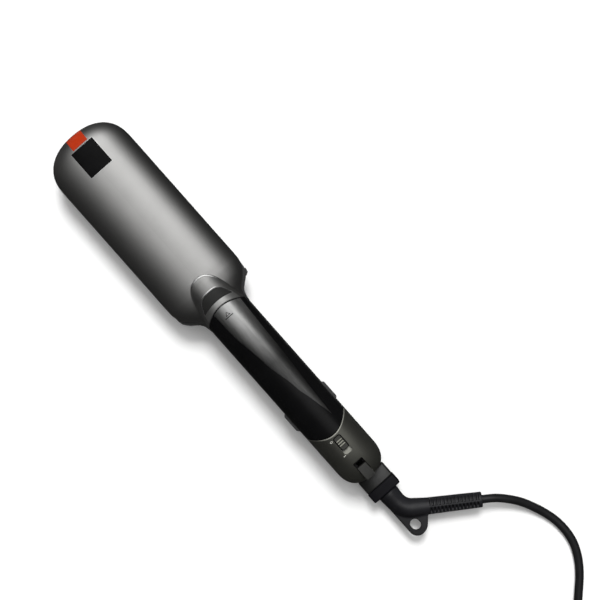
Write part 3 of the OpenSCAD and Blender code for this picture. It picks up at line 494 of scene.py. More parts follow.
line = cord_line()
verts, faces = tube(line, CORD_D / 2, sides=16)
cord = finish_mesh("mains_cord", verts, faces, M["cord"], None, sharp=60)
cord.modifiers.clear()
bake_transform(cord)
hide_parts("cord_tube", "cord_coil")
cord_length = sum((line[i + 1] - line[i]).length for i in range(len(line) - 1)) * MM



# ---- head of the upper arm ------------------------------------------------------
FAIR_B = [[-34, 17.75], [-30, 18.05], [-20, 18.5], [-8, 18.7]]


def band_front(y):
    return -20.6 + 0.00126 * abs(y) ** 3.54


def ring_front(y):
    return -12.6 + 0.014 * y * y


def seam(y):
    return -8.4 + 0.0207 * y * y


def fairing_inside(x, y):
    """How far a point is inside the U-shaped outline of the fairing, in millimetres."""
    dx = max(x + 33.3, 0.001)
    edge = 5.5 * dx ** 0.33 + 0.4 * min(dx, 1)
    slope = 1.815 * dx ** -0.67
    return (edge - abs(y)) / math.sqrt(1 + slope * slope)


def upper_r(x, t):
    """Radius of the upper head round its rim line, the raised fairing of the neck included."""
    head = se_r(max(half_width(x), 0.02), max(crown_h(x), 0.02), NH, t)
    if x < -33.4:
        return head
    fair = se_r(16.7, smooth_look(x, FAIR_B), NH, t)
    y = abs(fair * math.cos(t))
    inside = fairing_inside(x, y)
    lift = 0.1 + 0.6 * (1 - step(-20, -11, x)) * step(-32, -27, x)
    raised = fair + lift - head
    return head + (max(raised, 0) + 0.12) * step(-0.15, 1.15, inside)


def nose_stations(n):
    return [math.sin(math.pi / 2 * k / n) ** (2 / 2.35) for k in range(n, 0, -1)]


def head_shell(upper):
    rim, n_exp = (RIM_U, NH) if upper else (RIM_L, NL)
    sgn = 1 if upper else -1
    nt = 241 if upper else 97
    ts = [math.pi * (j / (nt - 1)) for j in range(nt)]
    wall = 1.6
    tall = crown_h if upper else belly_h
    rows = []
    stations = [("n", s) for s in nose_stations(26)] + [("x", x) for x in np.linspace(TIP_C, -52, 12)]
    if upper:
        stations += [("x", x) for x in np.arange(-48, -34.1, 2)] + [("x", x) for x in np.arange(-34.2, -8.01, 0.3)]
        stations += [("u", u) for u in np.linspace(0.12, 1, 9)]
    else:
        stations += [("x", x) for x in np.arange(-48, 0.61, 1.2)]
    for kind, v in stations:
        def outer(t, drop):
            """Point of the outer (drop 0) or the inner surface."""
            if kind == "n":
                x = TIP_C - (TIP_LEN - drop) * v
                a = max(30.9 - drop, 0) * max(0.0, 1 - v ** 2.35) ** (1 / 2.35)
                b = ((17.1 if upper else 17.5) - drop) * max(0.0, 1 - v ** (3 if upper else 2.6)) ** (1 / (3 if upper else 2.6))
                if a < 1e-4 or b < 1e-4:
                    return Vector((x, 0, rim))
                r = se_r(a, b, n_exp, t)
                return Vector((x, r * math.cos(t), rim + sgn * r * math.sin(t)))
            x = v
            if kind == "u":
                x = -8.1
                for _ in range(3):
                    r = upper_r(x, t)
                    y, z = r * math.cos(t), rim + r * math.sin(t)
                    end = seam(y) - 0.12
                    end += (1 - step(30.2, 31.8, z)) * (-1.1 - end)
                    x = -8.1 + (end + 8.1) * v
            if upper:
                r = upper_r(x, t)
                if not drop:
                    y = r * math.cos(t)
                    z = rim + r * math.sin(t)
                    edge = band_front(y)
                    top = 1 - step(12.5, 15.2, abs(y))
                    past = (x - edge) / math.hypot(1, 0.00446 * abs(y) ** 2.54)
                    r += 0.1 * top * math.exp(-((past + 0.45) / 0.34) ** 2)
                    r -= 0.85 * top * step(-0.04, 0.34, past)
                r -= drop
            else:
                r = se_r(half_width(x), tall(x), n_exp, t) - drop
            return Vector((x, r * math.cos(t), rim + sgn * r * math.sin(t)))
        tall_here = min(1.0, tall(TIP_C - TIP_LEN * v) / 6) if kind == "n" else 1.0
        po = [outer(t, 0) for t in ts]
        pi = [outer(t, wall) for t in ts]
        lip = lambda o, i, u, dz: Vector((o.x + (i.x - o.x) * u, o.y + (i.y - o.y) * u, rim + sgn * dz * tall_here))
        row = [lip(po[0], pi[0], 0.07, 0.1), lip(po[0], pi[0], 0.02, 0.24)] + po[1:-1]
        row += [lip(po[-1], pi[-1], 0.02, 0.24), lip(po[-1], pi[-1], 0.07, 0.1), lip(po[-1], pi[-1], 0.2, 0), lip(po[-1], pi[-1], 0.8, 0), lip(po[-1], pi[-1], 0.97, 0.2)]
        row += pi[1:-1][::-1] + [lip(po[0], pi[0], 0.97, 0.2), lip(po[0], pi[0], 0.8, 0), lip(po[0], pi[0], 0.2, 0)]
        rows.append(row)
    nv = len(rows[0])
    verts = [p for r in rows for p in r]
    faces = grid_faces(len(rows), nv, close_v=True)
    # rear edge: outer surface to inner surface
    last = (len(rows) - 1) * nv
    n_out = nt + 2
    for j in range(n_out - 1):
        a, b = last + j, last + j + 1
        ja, jb = nv - 2 - j, nv - 3 - j
        faces.append([a, b, last + max(jb, n_out), last + max(ja, n_out)])
    return verts, faces


verts, faces = head_shell(True)
finish_mesh("upper_head_skin", verts, faces, M["head"], "upper_arm", ["upper_head_shell"], sharp=55)
verts, faces = head_shell(False)
finish_mesh("lower_head_skin", verts, faces, M["head_low"], "lower_arm", ["lower_head_shell"], sharp=50)


# ---- arched pieces across the handle -------------------------------------------------
def arch(a_out, b_out, a_in, b_in, lo, hi, n):
    """Outer and inner points (y, z) of an arch over the handle, by angle in degrees."""
    ts = [math.radians(lo + (hi - lo) * j / (n - 1)) for j in range(n)]
    out = [(se_r(a_out, b_out, NH, t) * math.cos(t), RIM_U + se_r(a_out, b_out, NH, t) * math.sin(t)) for t in ts]
    inn = [(se_r(a_in, b_in, NH, t) * math.cos(t), RIM_U + se_r(a_in, b_in, NH, t) * math.sin(t)) for t in ts]
    return out, inn


def bar(top, bot, x_front, x_back, nx):
    """Solid between an upper and a lower line of (y, z) points, from x_front(y) to x_back(y)."""
    us = np.linspace(0, 1, nx)
    up_grid = [[Vector((x_front(y) + (x_back(y) - x_front(y)) * u, y, z)) for y, z in top] for u in us]
    low_grid = [[Vector((x_front(y) + (x_back(y) - x_front(y)) * u, y, z)) for y, z in bot] for u in us]
    return thick_grid(up_grid, low_grid)


out, inn = arch(16.75, 18.98, 15.2, 17.3, 21, 159, 91)
sunk = [1 - 0.035 * step(13.6, 15.4, abs(y)) for y, z in out]
out = [(y * k, RIM_U + (z - RIM_U) * k) for (y, z), k in zip(out, sunk)]
verts, faces = bar(out, inn, ring_front, lambda y: seam(y) - 0.12, 5)
finish_mesh("neck_ring_bright", verts, faces, M["ring"], "upper_arm", ["neck_ring"], bevel=0.28, segments=3)

def head_point(x, y, rise):
    """Point on the upper head's skin above (x, y)."""
    t = math.pi / 2
    for _ in range(12):
        r = upper_r(x, t)
        t = math.acos(max(-1, min(1, y / r)))
    return Vector((x, y, RIM_U + upper_r(x, t) * math.sin(t) + rise))


def bead(name, pts, r, mat, rep):
    """Thin round edge along a line, fading out at both ends."""
    n = len(pts)
    rad = [r * math.sin(math.pi * min(max((k + 0.5) / n, 0.02), 0.98)) ** 0.35 for k in range(n)]
    v, f = tube(pts, rad, sides=10)
    return finish_mesh(name, v, f, mat, "upper_arm", rep, sharp=70)


u_line = []
for k in range(0, 71):
    y = -6.6 + 18.4 * k / 70
    x = -33.3
    while fairing_inside(x, y) < 0.95:
        x += 0.02
    u_line.append(head_point(x, y, -0.93))
u_line = [(u_line[max(k - 1, 0)] + u_line[k] * 2 + u_line[min(k + 1, 70)]) / 4 for k in range(71)]
# bright beads on the fairing's U edge and the band's front edge: their pale colour is painted highlight
bead("fairing_edge_highlight", u_line, 1.25, M["edge"], ["upper_head_shell"])
bead("band_edge_highlight", [head_point(band_front(8.6 * k / 24) - 0.75, 8.6 * k / 24, -0.72) for k in range(-24, 25)], 1.0, M["edge"], ["upper_head_shell"])

def band_room(deg):
    """Width left for the band at an angle round its section; it ends where its front meets the ring."""
    t, x = math.radians(deg), -14
    for _ in range(4):
        y = upper_r(x, t) * math.cos(t)
        x = band_front(y) + 0.28
    return ring_front(y) - 0.04 - x


n = 91
first = 20.0
while band_room(first) < 0.12:
    first += 0.1
grid_t, grid_b = [], []
for u in np.linspace(0, 1, 12):
    rt, rb = [], []
    for j in range(n):
        t = math.radians(first + (180 - 2 * first) * j / (n - 1))
        x = -14
        for _ in range(4):
            r = upper_r(x, t)
            y = r * math.cos(t)
            xa, xb = band_front(y) + 0.28, ring_front(y) - 0.04
            x = xa + (max(xb, xa + 0.05) - xa) * u
        rt.append(Vector((x, (r - 0.16) * math.cos(t), RIM_U + (r - 0.16) * math.sin(t))))
        rb.append(Vector((x, (r - 0.95) * math.cos(t), RIM_U + (r - 0.95) * math.sin(t))))
    grid_t.append(rt)
    grid_b.append(rb)
verts, faces = thick_grid(grid_t, grid_b)
finish_mesh("neck_band_matt", verts, faces, M["band"], "upper_arm", ["neck_band"], bevel=0.12)


# ---- water tank and its blade ----------------------------------------------------------
def tank_section(drop=0.0, z_low=32.55):
    ts = np.linspace(0.05, math.pi - 0.05, 260)
    pts = [(se_r(17.05 - drop, 19.1 - drop, NH, t) * math.cos(t), RIM_U + se_r(17.05 - drop, 19.1 - drop, NH, t) * math.sin(t)) for t in ts]
    pts = [p for p in pts if p[1] >= z_low]
    y0 = se_side(z_low, drop)
    pts = [(y0, z_low)] + [p for p in pts if p[1] > z_low + 0.05][::3] + [(-y0, z_low)]
    return pts


def se_side(z, drop=0.0):
    return (17.05 - drop) * (1 - ((z - RIM_U) / (19.1 - drop)) ** NH) ** (1 / NH)


top = tank_section()
y_end = top[0][0]
bot = [(y_end - 2 * y_end * j / (len(top) - 1), 32.55) for j in range(len(top))]
bot = [(p[0] * 0.995, 32.55 + (0.0 if 0 < j < len(bot) - 1 else 0.02)) for j, p in enumerate(bot)]
verts, faces = bar(top, bot, lambda y: -8.05 + 0.0207 * y * y, lambda y: 108.95 - 0.0295 * y * y, 40)
finish_mesh("tank_body", verts, faces, M["tank"], "tank", ["water_tank"], bevel=0.5, segments=3, angle=40)

keel = []
for x0, x1, y0, z0, z1 in [(8.2, 97.8, 11.9, 27.5, 32.75)]:
    bm = bmesh.new()
    bmesh.ops.create_cube(bm, size=1)
    for v in bm.verts:
        v.co = Vector(((x0 + x1) / 2 + (x1 - x0) * v.co.x, 2 * y0 * v.co.y, (z0 + z1) / 2 + (z1 - z0) * v.co.z)) * MM
    for v in bm.verts:
        if v.co.z < 0.03:
            v.co.x += 0.0018 if v.co.x < 0.05 else -0.0018
            v.co.y *= 0.93
    from_bm("tank_keel", bm, M["tank"], "tank", ["water_tank"], bevel=1.6, segments=5, angle=30)

BLADE_UP = [[-12, 14.2], [-3.4, 13.7], [22.7, 12.5], [39.9, 11.9], [57.8, 11], [75, 9.7], [92, 8.8], [98.2, 8.42]]
BLADE_LOW = [[-12, -7.8], [-3, -7.6], [13.8, -7.1], [22.7, -5.9], [35.8, -4.2], [44.7, -2.9], [53, -1.1], [62, 1], [71, 2.3], [79, 4.4], [88, 6.2], [98.2, 8.38]]


def blade_grid(rise):
    rows = []
    for u in np.linspace(0, 1, 110):
        xs = -7.85 + (98.0 + 7.85) * u
        lo, hi = smooth_look(xs, BLADE_LOW), smooth_look(xs, BLADE_UP)
        inset = min(0.22, (hi - lo) / 4) if rise > 0.1 else 0
        row = []
        for v in np.linspace(0, 1, 31):
            y = lo + inset + (hi - lo - 2 * inset) * v
            x = xs + 0.0207 * y * y * (1 - u) + (0.2 if rise > 0.1 else 0) * (1 - 2 * u)
            row.append(Vector((x, y, deck_z(x, y) + rise)))
        rows.append(row)
    return rows


verts, faces = thick_grid(blade_grid(0.24), blade_grid(-0.25))
blade = finish_mesh("tank_blade_reflection", verts, faces, None, "tank", ["tank_inlay"], sharp=60, mats=[M["ring"]])


# pale inlay where the tank shows a reflection: painted reflection, pale at the neck and darker towards the cord, with
# painted shade across its width
M["blade"] = paint_light_by_place(
    material("blade_painted_reflection", (0.83, 0.83, 0.82), rough=0.4, metallic=0.98, spread=0.04, mottle=60, grain=2600, bump=0.06, bump_mm=0.02, along=(0.05, 1, 1)),
    ("X", -0.008, 0.098, [(0, 0.92), (0.12, 0.74), (0.3, 0.42), (0.5, 0.13), (0.75, 0.13), (1, 0.13)]),
    ("Y", -0.008, 0.014, [(0, 0.47), (0.16, 0.45), (0.28, 0.45), (0.41, 0.52), (0.53, 0.53), (0.655, 0.76), (0.78, 0.88), (1, 0.95)]))
blade.data.materials[0] = M["blade"]


def pad(name, corners, rise, sink, mat, body, rep, surf, nx=14, ny=14, bevel=0.12, hole=None):
    """Thin plate with four corners that follows a surface; its edges are rounded."""
    (x0, y0), (x1, y1) = corners
    top = [[Vector((x0 + (x1 - x0) * i / nx, y0 + (y1 - y0) * j / ny, 0)) for j in range(ny + 1)] for i in range(nx + 1)]
    bot = [[p.copy() for p in r] for r in top]
    for r in top:
        for p in r:
            p.z = surf(p.x, p.y) + rise
    for r in bot:
        for p in r:
            p.z = surf(p.x, p.y) - sink
    v, f = thick_grid(top, bot)
    return finish_mesh(name, v, f, mat, body, rep, bevel=bevel, segments=2, angle=50, sharp=50)


def decal(name, polys, surf, rise, mat, body, rep=()):
    """Printed marks: thin prisms over flat outlines, laid on a surface."""
    verts, faces = [], []
    for poly in polys:
        n, base = len(poly), len(verts)
        verts += [Vector((x, y, surf(x, y) + rise)) for x, y in poly] + [Vector((x, y, surf(x, y) - 0.15)) for x, y in poly]
        faces += [list(range(base, base + n)), list(range(base + n, base + 2 * n))[::-1]]
        faces += [[base + k, base + (k + 1) % n, base + n + (k + 1) % n, base + n + k] for k in range(n)]
    return finish_mesh(name, verts, faces, mat, body, rep, smooth=False, weld=0.0001)


def stroke(points, width, closed=False):
    """Outlines of the straight strokes of a line mark."""
    out = []
    pts = [Vector(p) for p in points]
    for k in range(len(pts) if closed else len(pts) - 1):
        a, b = pts[k], pts[(k + 1) % len(pts)]
        d = (b - a).normalized()
        s = Vector((-d.y, d.x)) * width / 2
        a, b = a - d * width * 0.45, b + d * width * 0.45
        parts = max(1, int(math.ceil((b - a).length / 0.5)))
        for i in range(parts):
            p, q = a.lerp(b, i / parts), a.lerp(b, (i + 1) / parts)
            out.append([tuple(p - s), tuple(q - s), tuple(q + s), tuple(p + s)])
    return out


def made_solid(ob):
    """The piece with its modifiers worked into the mesh."""
    bpy.context.view_layer.update()
    me = bpy.data.meshes.new_from_object(ob.evaluated_get(bpy.context.evaluated_depsgraph_get()))
    ob.modifiers.clear()
    ob.data = me
    return ob


def cutter(name, x0, x1, y0, z0, z1, r, dx=0.0):
    """Box with round corners in plan, used to cut with and then taken away."""
    pts = []
    for cx, cy, a0 in ((x1 - r, y0 - r, 0), (x0 + r, y0 - r, 90), (x0 + r, r - y0, 180), (x1 - r, r - y0, 270)):
        pts += [(cx + r * math.cos(math.radians(a0 + 11.25 * k)), cy + r * math.sin(math.radians(a0 + 11.25 * k))) for k in range(9)]
    bm = bmesh.new()
    lo = [bm.verts.new((x * MM, y * MM, z0 * MM)) for x, y in pts]
    hi = [bm.verts.new((x * MM, y * MM, z1 * MM)) for x, y in pts]
    bm.faces.new(lo[::-1])
    bm.faces.new(hi)
    for k in range(len(pts)):
        bm.faces.new((lo[k - 1], lo[k], hi[k], hi[k - 1]))
    me = bpy.data.meshes.new(name)
    bm.to_mesh(me)
    bm.free()
    ob = bpy.data.objects.new(name, me)
    col.objects.link(ob)
    return ob


# ---- tail of the upper arm -----------------------------------------------------------
def tail_shell():
    nt, wall = 121, 1.6
    ts = [math.pi * j / (nt - 1) for j in range(nt)]
    stations = [("f", u) for u in np.linspace(0, 1, 30)] + [("n", s) for s in nose_stations(30)[::-1]]

    def outer(kind, v, t, drop):
        if kind == "f":
            w, x = 17.05 - drop, 131.6
            h = se_y(39.4 - drop, 19.1 - drop, 3.2, 21.6)
            y = se_r(w, h, NH, t) * math.cos(t)
            x0 = 109.4 - 0.0295 * y * y
            x = x0 + (131.6 - x0) * v
        else:
            x = 131.6 + (17.8 - drop) * v
            c = min(v, 1) ** 1.3
            w = (17.05 - drop) * max(0, 1 - c * c) ** (1 / 2.6)
        h = 19.1 - drop if x <= 110 else se_y(39.4 - drop, 19.1 - drop, 3.2, x - 110)
        if w < 1e-4 or h < 1e-4:
            return Vector((x, 0, 26.3))
        r = se_r(w, h, NH, t)
        return Vector((x, r * math.cos(t), 26.3 + r * math.sin(t) * (h + 0.2) / h))

    rows = []
    for kind, v in stations:
        po = [outer(kind, v, t, 0) for t in ts]
        pi = [outer(kind, v, t, wall) for t in ts]
        lip = lambda o, i, u, dz: Vector((o.x + (i.x - o.x) * u, o.y + (i.y - o.y) * u, 26.3 + dz))
        row = [lip(po[0], pi[0], 0.07, 0.08)] + po[1:-1] + [lip(po[-1], pi[-1], 0.07, 0.08), lip(po[-1], pi[-1], 0.2, 0), lip(po[-1], pi[-1], 0.85, 0)]
        row += pi[1:-1][::-1] + [lip(po[0], pi[0], 0.85, 0), lip(po[0], pi[0], 0.2, 0)]
        rows.append(row)
    nv = len(rows[0])
    verts = [p for r in rows for p in r]
    faces = grid_faces(len(rows), nv, close_v=True)
    n_out = nt
    for j in range(n_out - 1):
        faces.append([j, j + 1, max(nv - 2 - j, n_out), max(nv - 1 - j, n_out)][::-1])
    return verts, faces


verts, faces = tail_shell()
tail = finish_mesh("tail_cover", verts, faces, M["tail"], None, sharp=40)
tail.modifiers.clear()
for cut in (cutter("cut_slot", 111.05, 125.9, 3.35, 40.5, 48, 2.0), cutter("cut_lock", 133.7, 154, 4.1, 38.2, 50, 0.6)):
    b = tail.modifiers.new("cut", "BOOLEAN")
    b.operation, b.solver, b.object = "DIFFERENCE", "EXACT", cut
    made_solid(tail)
    bpy.data.objects.remove(cut)
bm = bmesh.new()
bm.from_mesh(tail.data)
bmesh.ops.remove_doubles(bm, verts=bm.verts, dist=3e-6)
bmesh.ops.dissolve_degenerate(bm, dist=2e-6, edges=bm.edges)
edges = [e for e in bm.edges if len(e.link_faces) == 2 and e.calc_face_angle(0) > math.radians(38) and min(v.co.z for v in e.verts) > 0.0378]
bmesh.ops.bevel(bm, geom=edges, offset=0.22 * MM, offset_type="OFFSET", segments=2, profile=0.5, affect="EDGES", clamp_overlap=True)
bm.to_mesh(tail.data)
bm.free()
tail.data.polygons.foreach_set("use_smooth", [True] * len(tail.data.polygons))
tail.data.set_sharp_from_angle(angle=math.radians(45))
w = tail.modifiers.new("normals", "WEIGHTED_NORMAL")
w.keep_sharp = True
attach(tail, "upper_arm")
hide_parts("tail_housing")


# ---- CAD pieces that only get rounder edges and a real finish ----------------------------
def refine(name, mat, bevel=0.25, segments=2, angle=32, sharp=45):
    """A rounded copy of a CAD piece, in its place and on its body."""
    src = node[name]
    bm = bmesh.new()
    bm.from_mesh(src.data)
    bmesh.ops.remove_doubles(bm, verts=bm.verts, dist=2e-6)
    bmesh.ops.dissolve_limit(bm, angle_limit=math.radians(1.0), verts=bm.verts, edges=bm.edges)
    for e in bm.edges:
        e.smooth = True
    for f in bm.faces:
        f.material_index = 0
    ob = from_bm(name + "_fine", bm, mat, src["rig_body"], [name], bevel=bevel, segments=segments, angle=angle, sharp=sharp)
    for key in ("custom_normal", "sharp_face"):
        if key in ob.data.attributes:
            ob.data.attributes.remove(ob.data.attributes[key])
    return ob


refine("switch_plate", M["slot"], 0.1)
refine("lock_slider", M["control"], 0.35, 3)
refine("lock_tray", M["pit"], 0.12)
for side in ("left", "right"):
    refine("release_button_" + side, M["button"], 0.4, 3)

# square plate and tip inlay, laid on the crown of the head
pad("badge_edge_plate", ((-155.0, -8.6), (-132.65, 11.1)), 0.16, 0.3, M["badge_edge"], "upper_arm", ["badge_frame"], crown_z, 20, 18, 0.1)
pad("badge_black_plate", ((-154.65, -8.25), (-133.0, 10.75)), 0.34, 0.2, M["badge"], "upper_arm", ["badge_plate"], crown_z, 20, 18, 0.12)
pad("tip_accent_pad", ((-165.2, -5.3), (-155.5, 7.5)), 0.28, 0.4, M["accent"], "upper_arm", ["tip_accent"], crown_z, 34, 16, 0.12)

# steam switch: dark skirt in the slot, knob and three pale ribs
def rounded_block(name, x0, x1, yh, z0, z1, r, mat, body, rep, bevel, cy=0.0, top=None):
    pts = []
    for cx, sy, a0 in ((x1 - r, 1, 0), (x0 + r, 1, 90), (x0 + r, -1, 180), (x1 - r, -1, 270)):
        for k in range(7):
            a = math.radians(a0 + 15 * k)
            pts.append((cx + r * math.cos(a), cy + sy * (yh - r) + r * math.sin(a)))
    n = len(pts)
    verts = [(x, y, z0) for x, y in pts] + [(x, y, top(x, y) if top else z1) for x, y in pts]
    faces = [list(range(n))[::-1], list(range(n, 2 * n))] + [[k, (k + 1) % n, n + (k + 1) % n, n + k] for k in range(n)]
    return finish_mesh(name, verts, faces, mat, body, rep, bevel=bevel, segments=3, angle=40, sharp=40)


rounded_block("switch_skirt", 111.2, 122.5, 3.22, 42.35, 43.4, 1.9, M["pit"], "steam_knob", ["steam_switch"], 0.1)
rounded_block("switch_knob", 111.75, 121.9, 2.55, 43.2, 45.75, 1.2, M["knob"], "steam_knob", ["steam_switch"], 0.3)
for k, x in enumerate((114.7, 116.5, 118.3)):
    rounded_block("switch_rib_%d" % (k + 1), x - 0.38, x + 0.38, 2.3, 45.5, 46.45, 0.34, M["rib"], "steam_knob", ["steam_switch"], 0.12)


def tail_z(x, y):
    return 26.5 + se_y(17.05, 19.1 if x < 112 else se_y(39.4, 19.1, 3.2, x - 110), NH, y)


circle = [(112.4 + 0.62 * math.cos(math.radians(a)), -5.05 + 0.85 * math.sin(math.radians(a))) for a in range(0, 360, 30)]
decal("switch_marks", stroke(circle, 0.3, closed=True) + stroke([(125.6, -5.1), (125.6, -3.5)], 0.42), tail_z, 0.05, M["mark"], "upper_arm")
decal("switch_steps", stroke([(117.3, -4.9), (117.3, -4.3)], 0.22) + stroke([(119.2, -5.1), (119.2, -4.2)], 0.22) + stroke([(121.1, -5.3), (121.1, -4.1)], 0.22),
      tail_z, 0.03, M["control"], "upper_arm")
decal("level_mark", stroke([(1.0, -3.1), (1.0, 3.1)], 0.62) + stroke([(-2.5, 0.0), (-0.2, -1.6), (-0.2, 1.6)], 0.42, closed=True),
      lambda x, y: deck_z(x, y) + 0.24, 0.03, M["mark_dark"], "tank")

# pale strip where the tail begins: painted highlight of its front edge, wider towards the +Y side
verts, faces = bar(*arch(17.08, 19.13, 16.3, 18.3, 15, 165, 81), lambda y: 109.42 - 0.0295 * y * y, lambda y: 109.42 - 0.0295 * y * y + 0.2 + 0.6 * step(-13, -5, y), 3)
finish_mesh("tail_lip_highlight", verts, faces, M["lip"], "upper_arm", bevel=0.15)

# block and collar of the cord outlet
def outlet(name, x0, x1, yh, z0, top, mat, rep, nx, ny, bevel):
    g_top = [[Vector((x0 + (x1 - x0) * i / nx, -yh + 2 * yh * j / ny, 0)) for j in range(ny + 1)] for i in range(nx + 1)]
    g_bot = [[Vector((p.x, p.y, 2 * 13.0 - top(p.x, p.y))) if z0 is None else Vector((p.x, p.y, z0)) for p in r] for r in g_top]
    for r in g_top:
        for p in r:
            p.z = top(p.x, p.y)
    v, f = thick_grid(g_top, g_bot)
    return finish_mesh(name, v, f, mat, "lower_arm", rep, bevel=bevel, segments=4, angle=50, sharp=50)


outlet("outlet_block", 149.1, 159.9, 11.3, None, lambda x, y: 19.5 - 1.1 * ((159.9 - x) / 10.8) ** 2 - 1.5 * abs(y / 11.3) ** 2.4, M["block"], ["cord_block"], 10, 20, 1.1)
outlet("outlet_collar", 159.7, 167.55, 11.65, None, lambda x, y: 20.4 - 0.9 * abs(y / 11.65) ** 4, M["collar"], ["cord_collar"], 6, 20, 0.8)


def plug_shell():
    """Flat mains plug: its outline narrows towards the cord, the faces are gently domed, with grip ridges."""
    side_pts = [(-4, 5.4), (4, 8), (11, 12.6), (18, 16.4), (22, 17), (29, 17), (30, 16)]
    xs = np.linspace(-4, 30, 35)
    rows_t, rows_b = [], []
    for x in xs:
        h = smooth_look(float(x), side_pts)
        rt, rb = [], []
        for j in range(29):
            y = -h + 2 * h * j / 28
            dome = 1.5 * abs(y / h) ** 3 + 1.1 * (1 - step(-4, 12, float(x)))
            ridge = 0.45 * step(0.62, 0.72, abs(y / h)) * (1 if 6 < x < 22 and int((x - 6) / 2) % 2 == 0 else 0)
            rt.append(plug_point(float(x), 18 + y, 32.85 - dome - ridge))
            rb.append(plug_point(float(x), 18 + y, 19.15 + dome + ridge))
        rows_t.append(rt)
        rows_b.append(rb)
    v, f = thick_grid(rows_t, rows_b)
    return finish_mesh("plug_shell", v, f, M["rubber"], "lower_arm", ["plug_body"], bevel=1.3, segments=4, angle=60, sharp=50)


plug_shell()


def strap():
    """Hook-and-loop tie round the bundle of the coil, with its loose end laid over."""
    a = math.radians(PLUG_A - 115)
    out_dir, along = Vector((math.cos(a), math.sin(a), 0)), Vector((-math.sin(a), math.cos(a), 0))
    mid = Vector((COIL[0], COIL[1], 0))
    r0, r1, z0, z1, rc = 23.55, 42.5, 0.72, 19.4, 3.0
    loop = []
    for cr, cz, s in ((r1 - rc, z0 + rc, -90), (r1 - rc, z1 - rc, 0), (r0 + rc, z1 - rc, 90), (r0 + rc, z0 + rc, 180)):
        for k in range(9):
            t = math.radians(s + 90 * k / 8)
            thick = 0.62 if math.sin(t) < -0.7 else 1.0
            loop.append((cr, cz, t, thick))
    rows = []
    for cr, cz, t, thick in loop:
        ring = []
        for w, d in ((-5.0, 0.12), (-4.8, 0), (4.8, 0), (5.0, 0.12), (5.0, thick - 0.15), (4.75, thick), (-4.75, thick), (-5.0, thick - 0.15)):
            rr = rc + d
            ring.append(mid + out_dir * (cr + rr * math.cos(t)) + along * w + Vector((0, 0, cz + rr * math.sin(t))))
        rows.append(ring)
    n = len(rows[0])
    verts = [p for r in rows for p in r]
    faces = grid_faces(len(rows), n, close_v=True)
    last = (len(rows) - 1) * n
    faces += [[last + j, j, (j + 1) % n, last + (j + 1) % n] for j in range(n)]
    finish_mesh("cord_strap", verts, faces, M["collar"], "lower_arm", ["cord_tie"], sharp=40)
    tab, under = [], []
    for i in range(9):
        u = i / 8
        tr, ur = [], []
        for j in range(9):
            w = (-4.6 + 9.2 * j / 8) * (1 - 0.25 * step(0.75, 1.0, u))
            q = mid + out_dir * (27.5 + 9.5 * u) + along * w
            tr.append(q + Vector((0, 0, z1 + 1.0 + 0.62)))
            ur.append(q + Vector((0, 0, z1 + 0.9)))
        tab.append(tr)
        under.append(ur)
    v, f = thick_grid(tab, under)
    finish_mesh("cord_strap_end", v, f, M["collar"], "lower_arm", ["cord_tie"], bevel=0.2)


strap()

# tapered relief where the cord enters the plug
back = []
length = 0.0
for k in range(len(line) - 1, 0, -1):
    back.append(line[k])
    length += (line[k] - line[k - 1]).length
    if length > 27:
        break
fine = [Vector(p) for p in spline(back, 0.8)]
run = [0.0]
for k in range(1, len(fine)):
    run.append(run[-1] + (fine[k] - fine[k - 1]).length)
rad = []
for d in run:
    base = 5.3 - 1.75 * min(d / 27, 1)
    groove = 0.55 * step(6.0, 6.6, d) * (1 - step(23.5, 24.1, d)) * (1 - step(0.28, 0.42, abs((d / 3.2) % 1 - 0.5)))
    rad.append(base - groove)
rad[-1] = 3.2
v, f = tube(fine, rad, sides=28)
finish_mesh("plug_relief", v, f, M["rubber"], "lower_arm", ["plug_body"], sharp=60)


# ---- cord outlet: elbow, hanging loop and ribbed sleeve ---------------------------------
def boot_line():
    """Middle line of the elbow, from the collar to the end of the sleeve, with the thickness at each point."""
    ang = math.radians(55.4)
    tangent = 15 * math.tan(ang / 2)
    px = 193.9 - 14.4 / math.tan(ang)
    pts = [(Vector((x, 0, 13)), r) for x, r in ((167.7, 7.1), (168.0, 7.5), (168.8, 7.65), (171, 7.6), (173.5, 7.4))]
    for k in range(13):
        a = ang * k / 12
        pts.append((Vector((px - tangent + 15 * math.sin(a), 15 - 15 * math.cos(a), 13)), 7.2 - 0.35 * k / 12))
    start = pts[-1][0]
    for k in range(1, 7):
        p = start.lerp(BOOT_A, k / 6)
        pts.append((p, 6.85 - 0.75 * k / 6))
    pts.append((BOOT_A + BOOT_DIR * 1.2, 6.0))
    pts.append((BOOT_A + BOOT_DIR * 1.8, 5.7))
    return pts


def loop_plate():
    """Web and round loop beside the elbow, with its long hole."""
    edge = [(171.5, 1), (172.2, -5.2), (173.6, -6.85)] + [(173.6 + (200.2 - 173.6) * k / 12, -6.85) for k in range(1, 12)]
    edge += [(199.9 + 6.65 * math.cos(math.radians(t)), -0.2 + 6.65 * math.sin(math.radians(t))) for t in range(-90, 11, 10)]
    edge += [(206.1, 3.0), (205.0, 5.0), (203.2, 7.0), (201.2, 8.8), (199.4, 10.4), (198.0, 12.2), (195, 13), (186, 5)]
    hole = []
    for cx, a0 in ((199.0, -90), (197.2, 90)):
        hole += [(cx + 3.5 * math.cos(math.radians(a0 + t)), -0.2 + 3.5 * math.sin(math.radians(a0 + t))) for t in range(0, 181, 15)]
    return edge, hole


pts = boot_line()
v1, f1 = tube([p for p, _ in pts], [r for _, r in pts], sides=40)
edge, hole = loop_plate()
bm = bmesh.new()


def add_verts(bm, verts, faces):
    vs = [bm.verts.new(Vector(v) * MM) for v in verts]
    for f in faces:
        bm.faces.new([vs[k] for k in f])


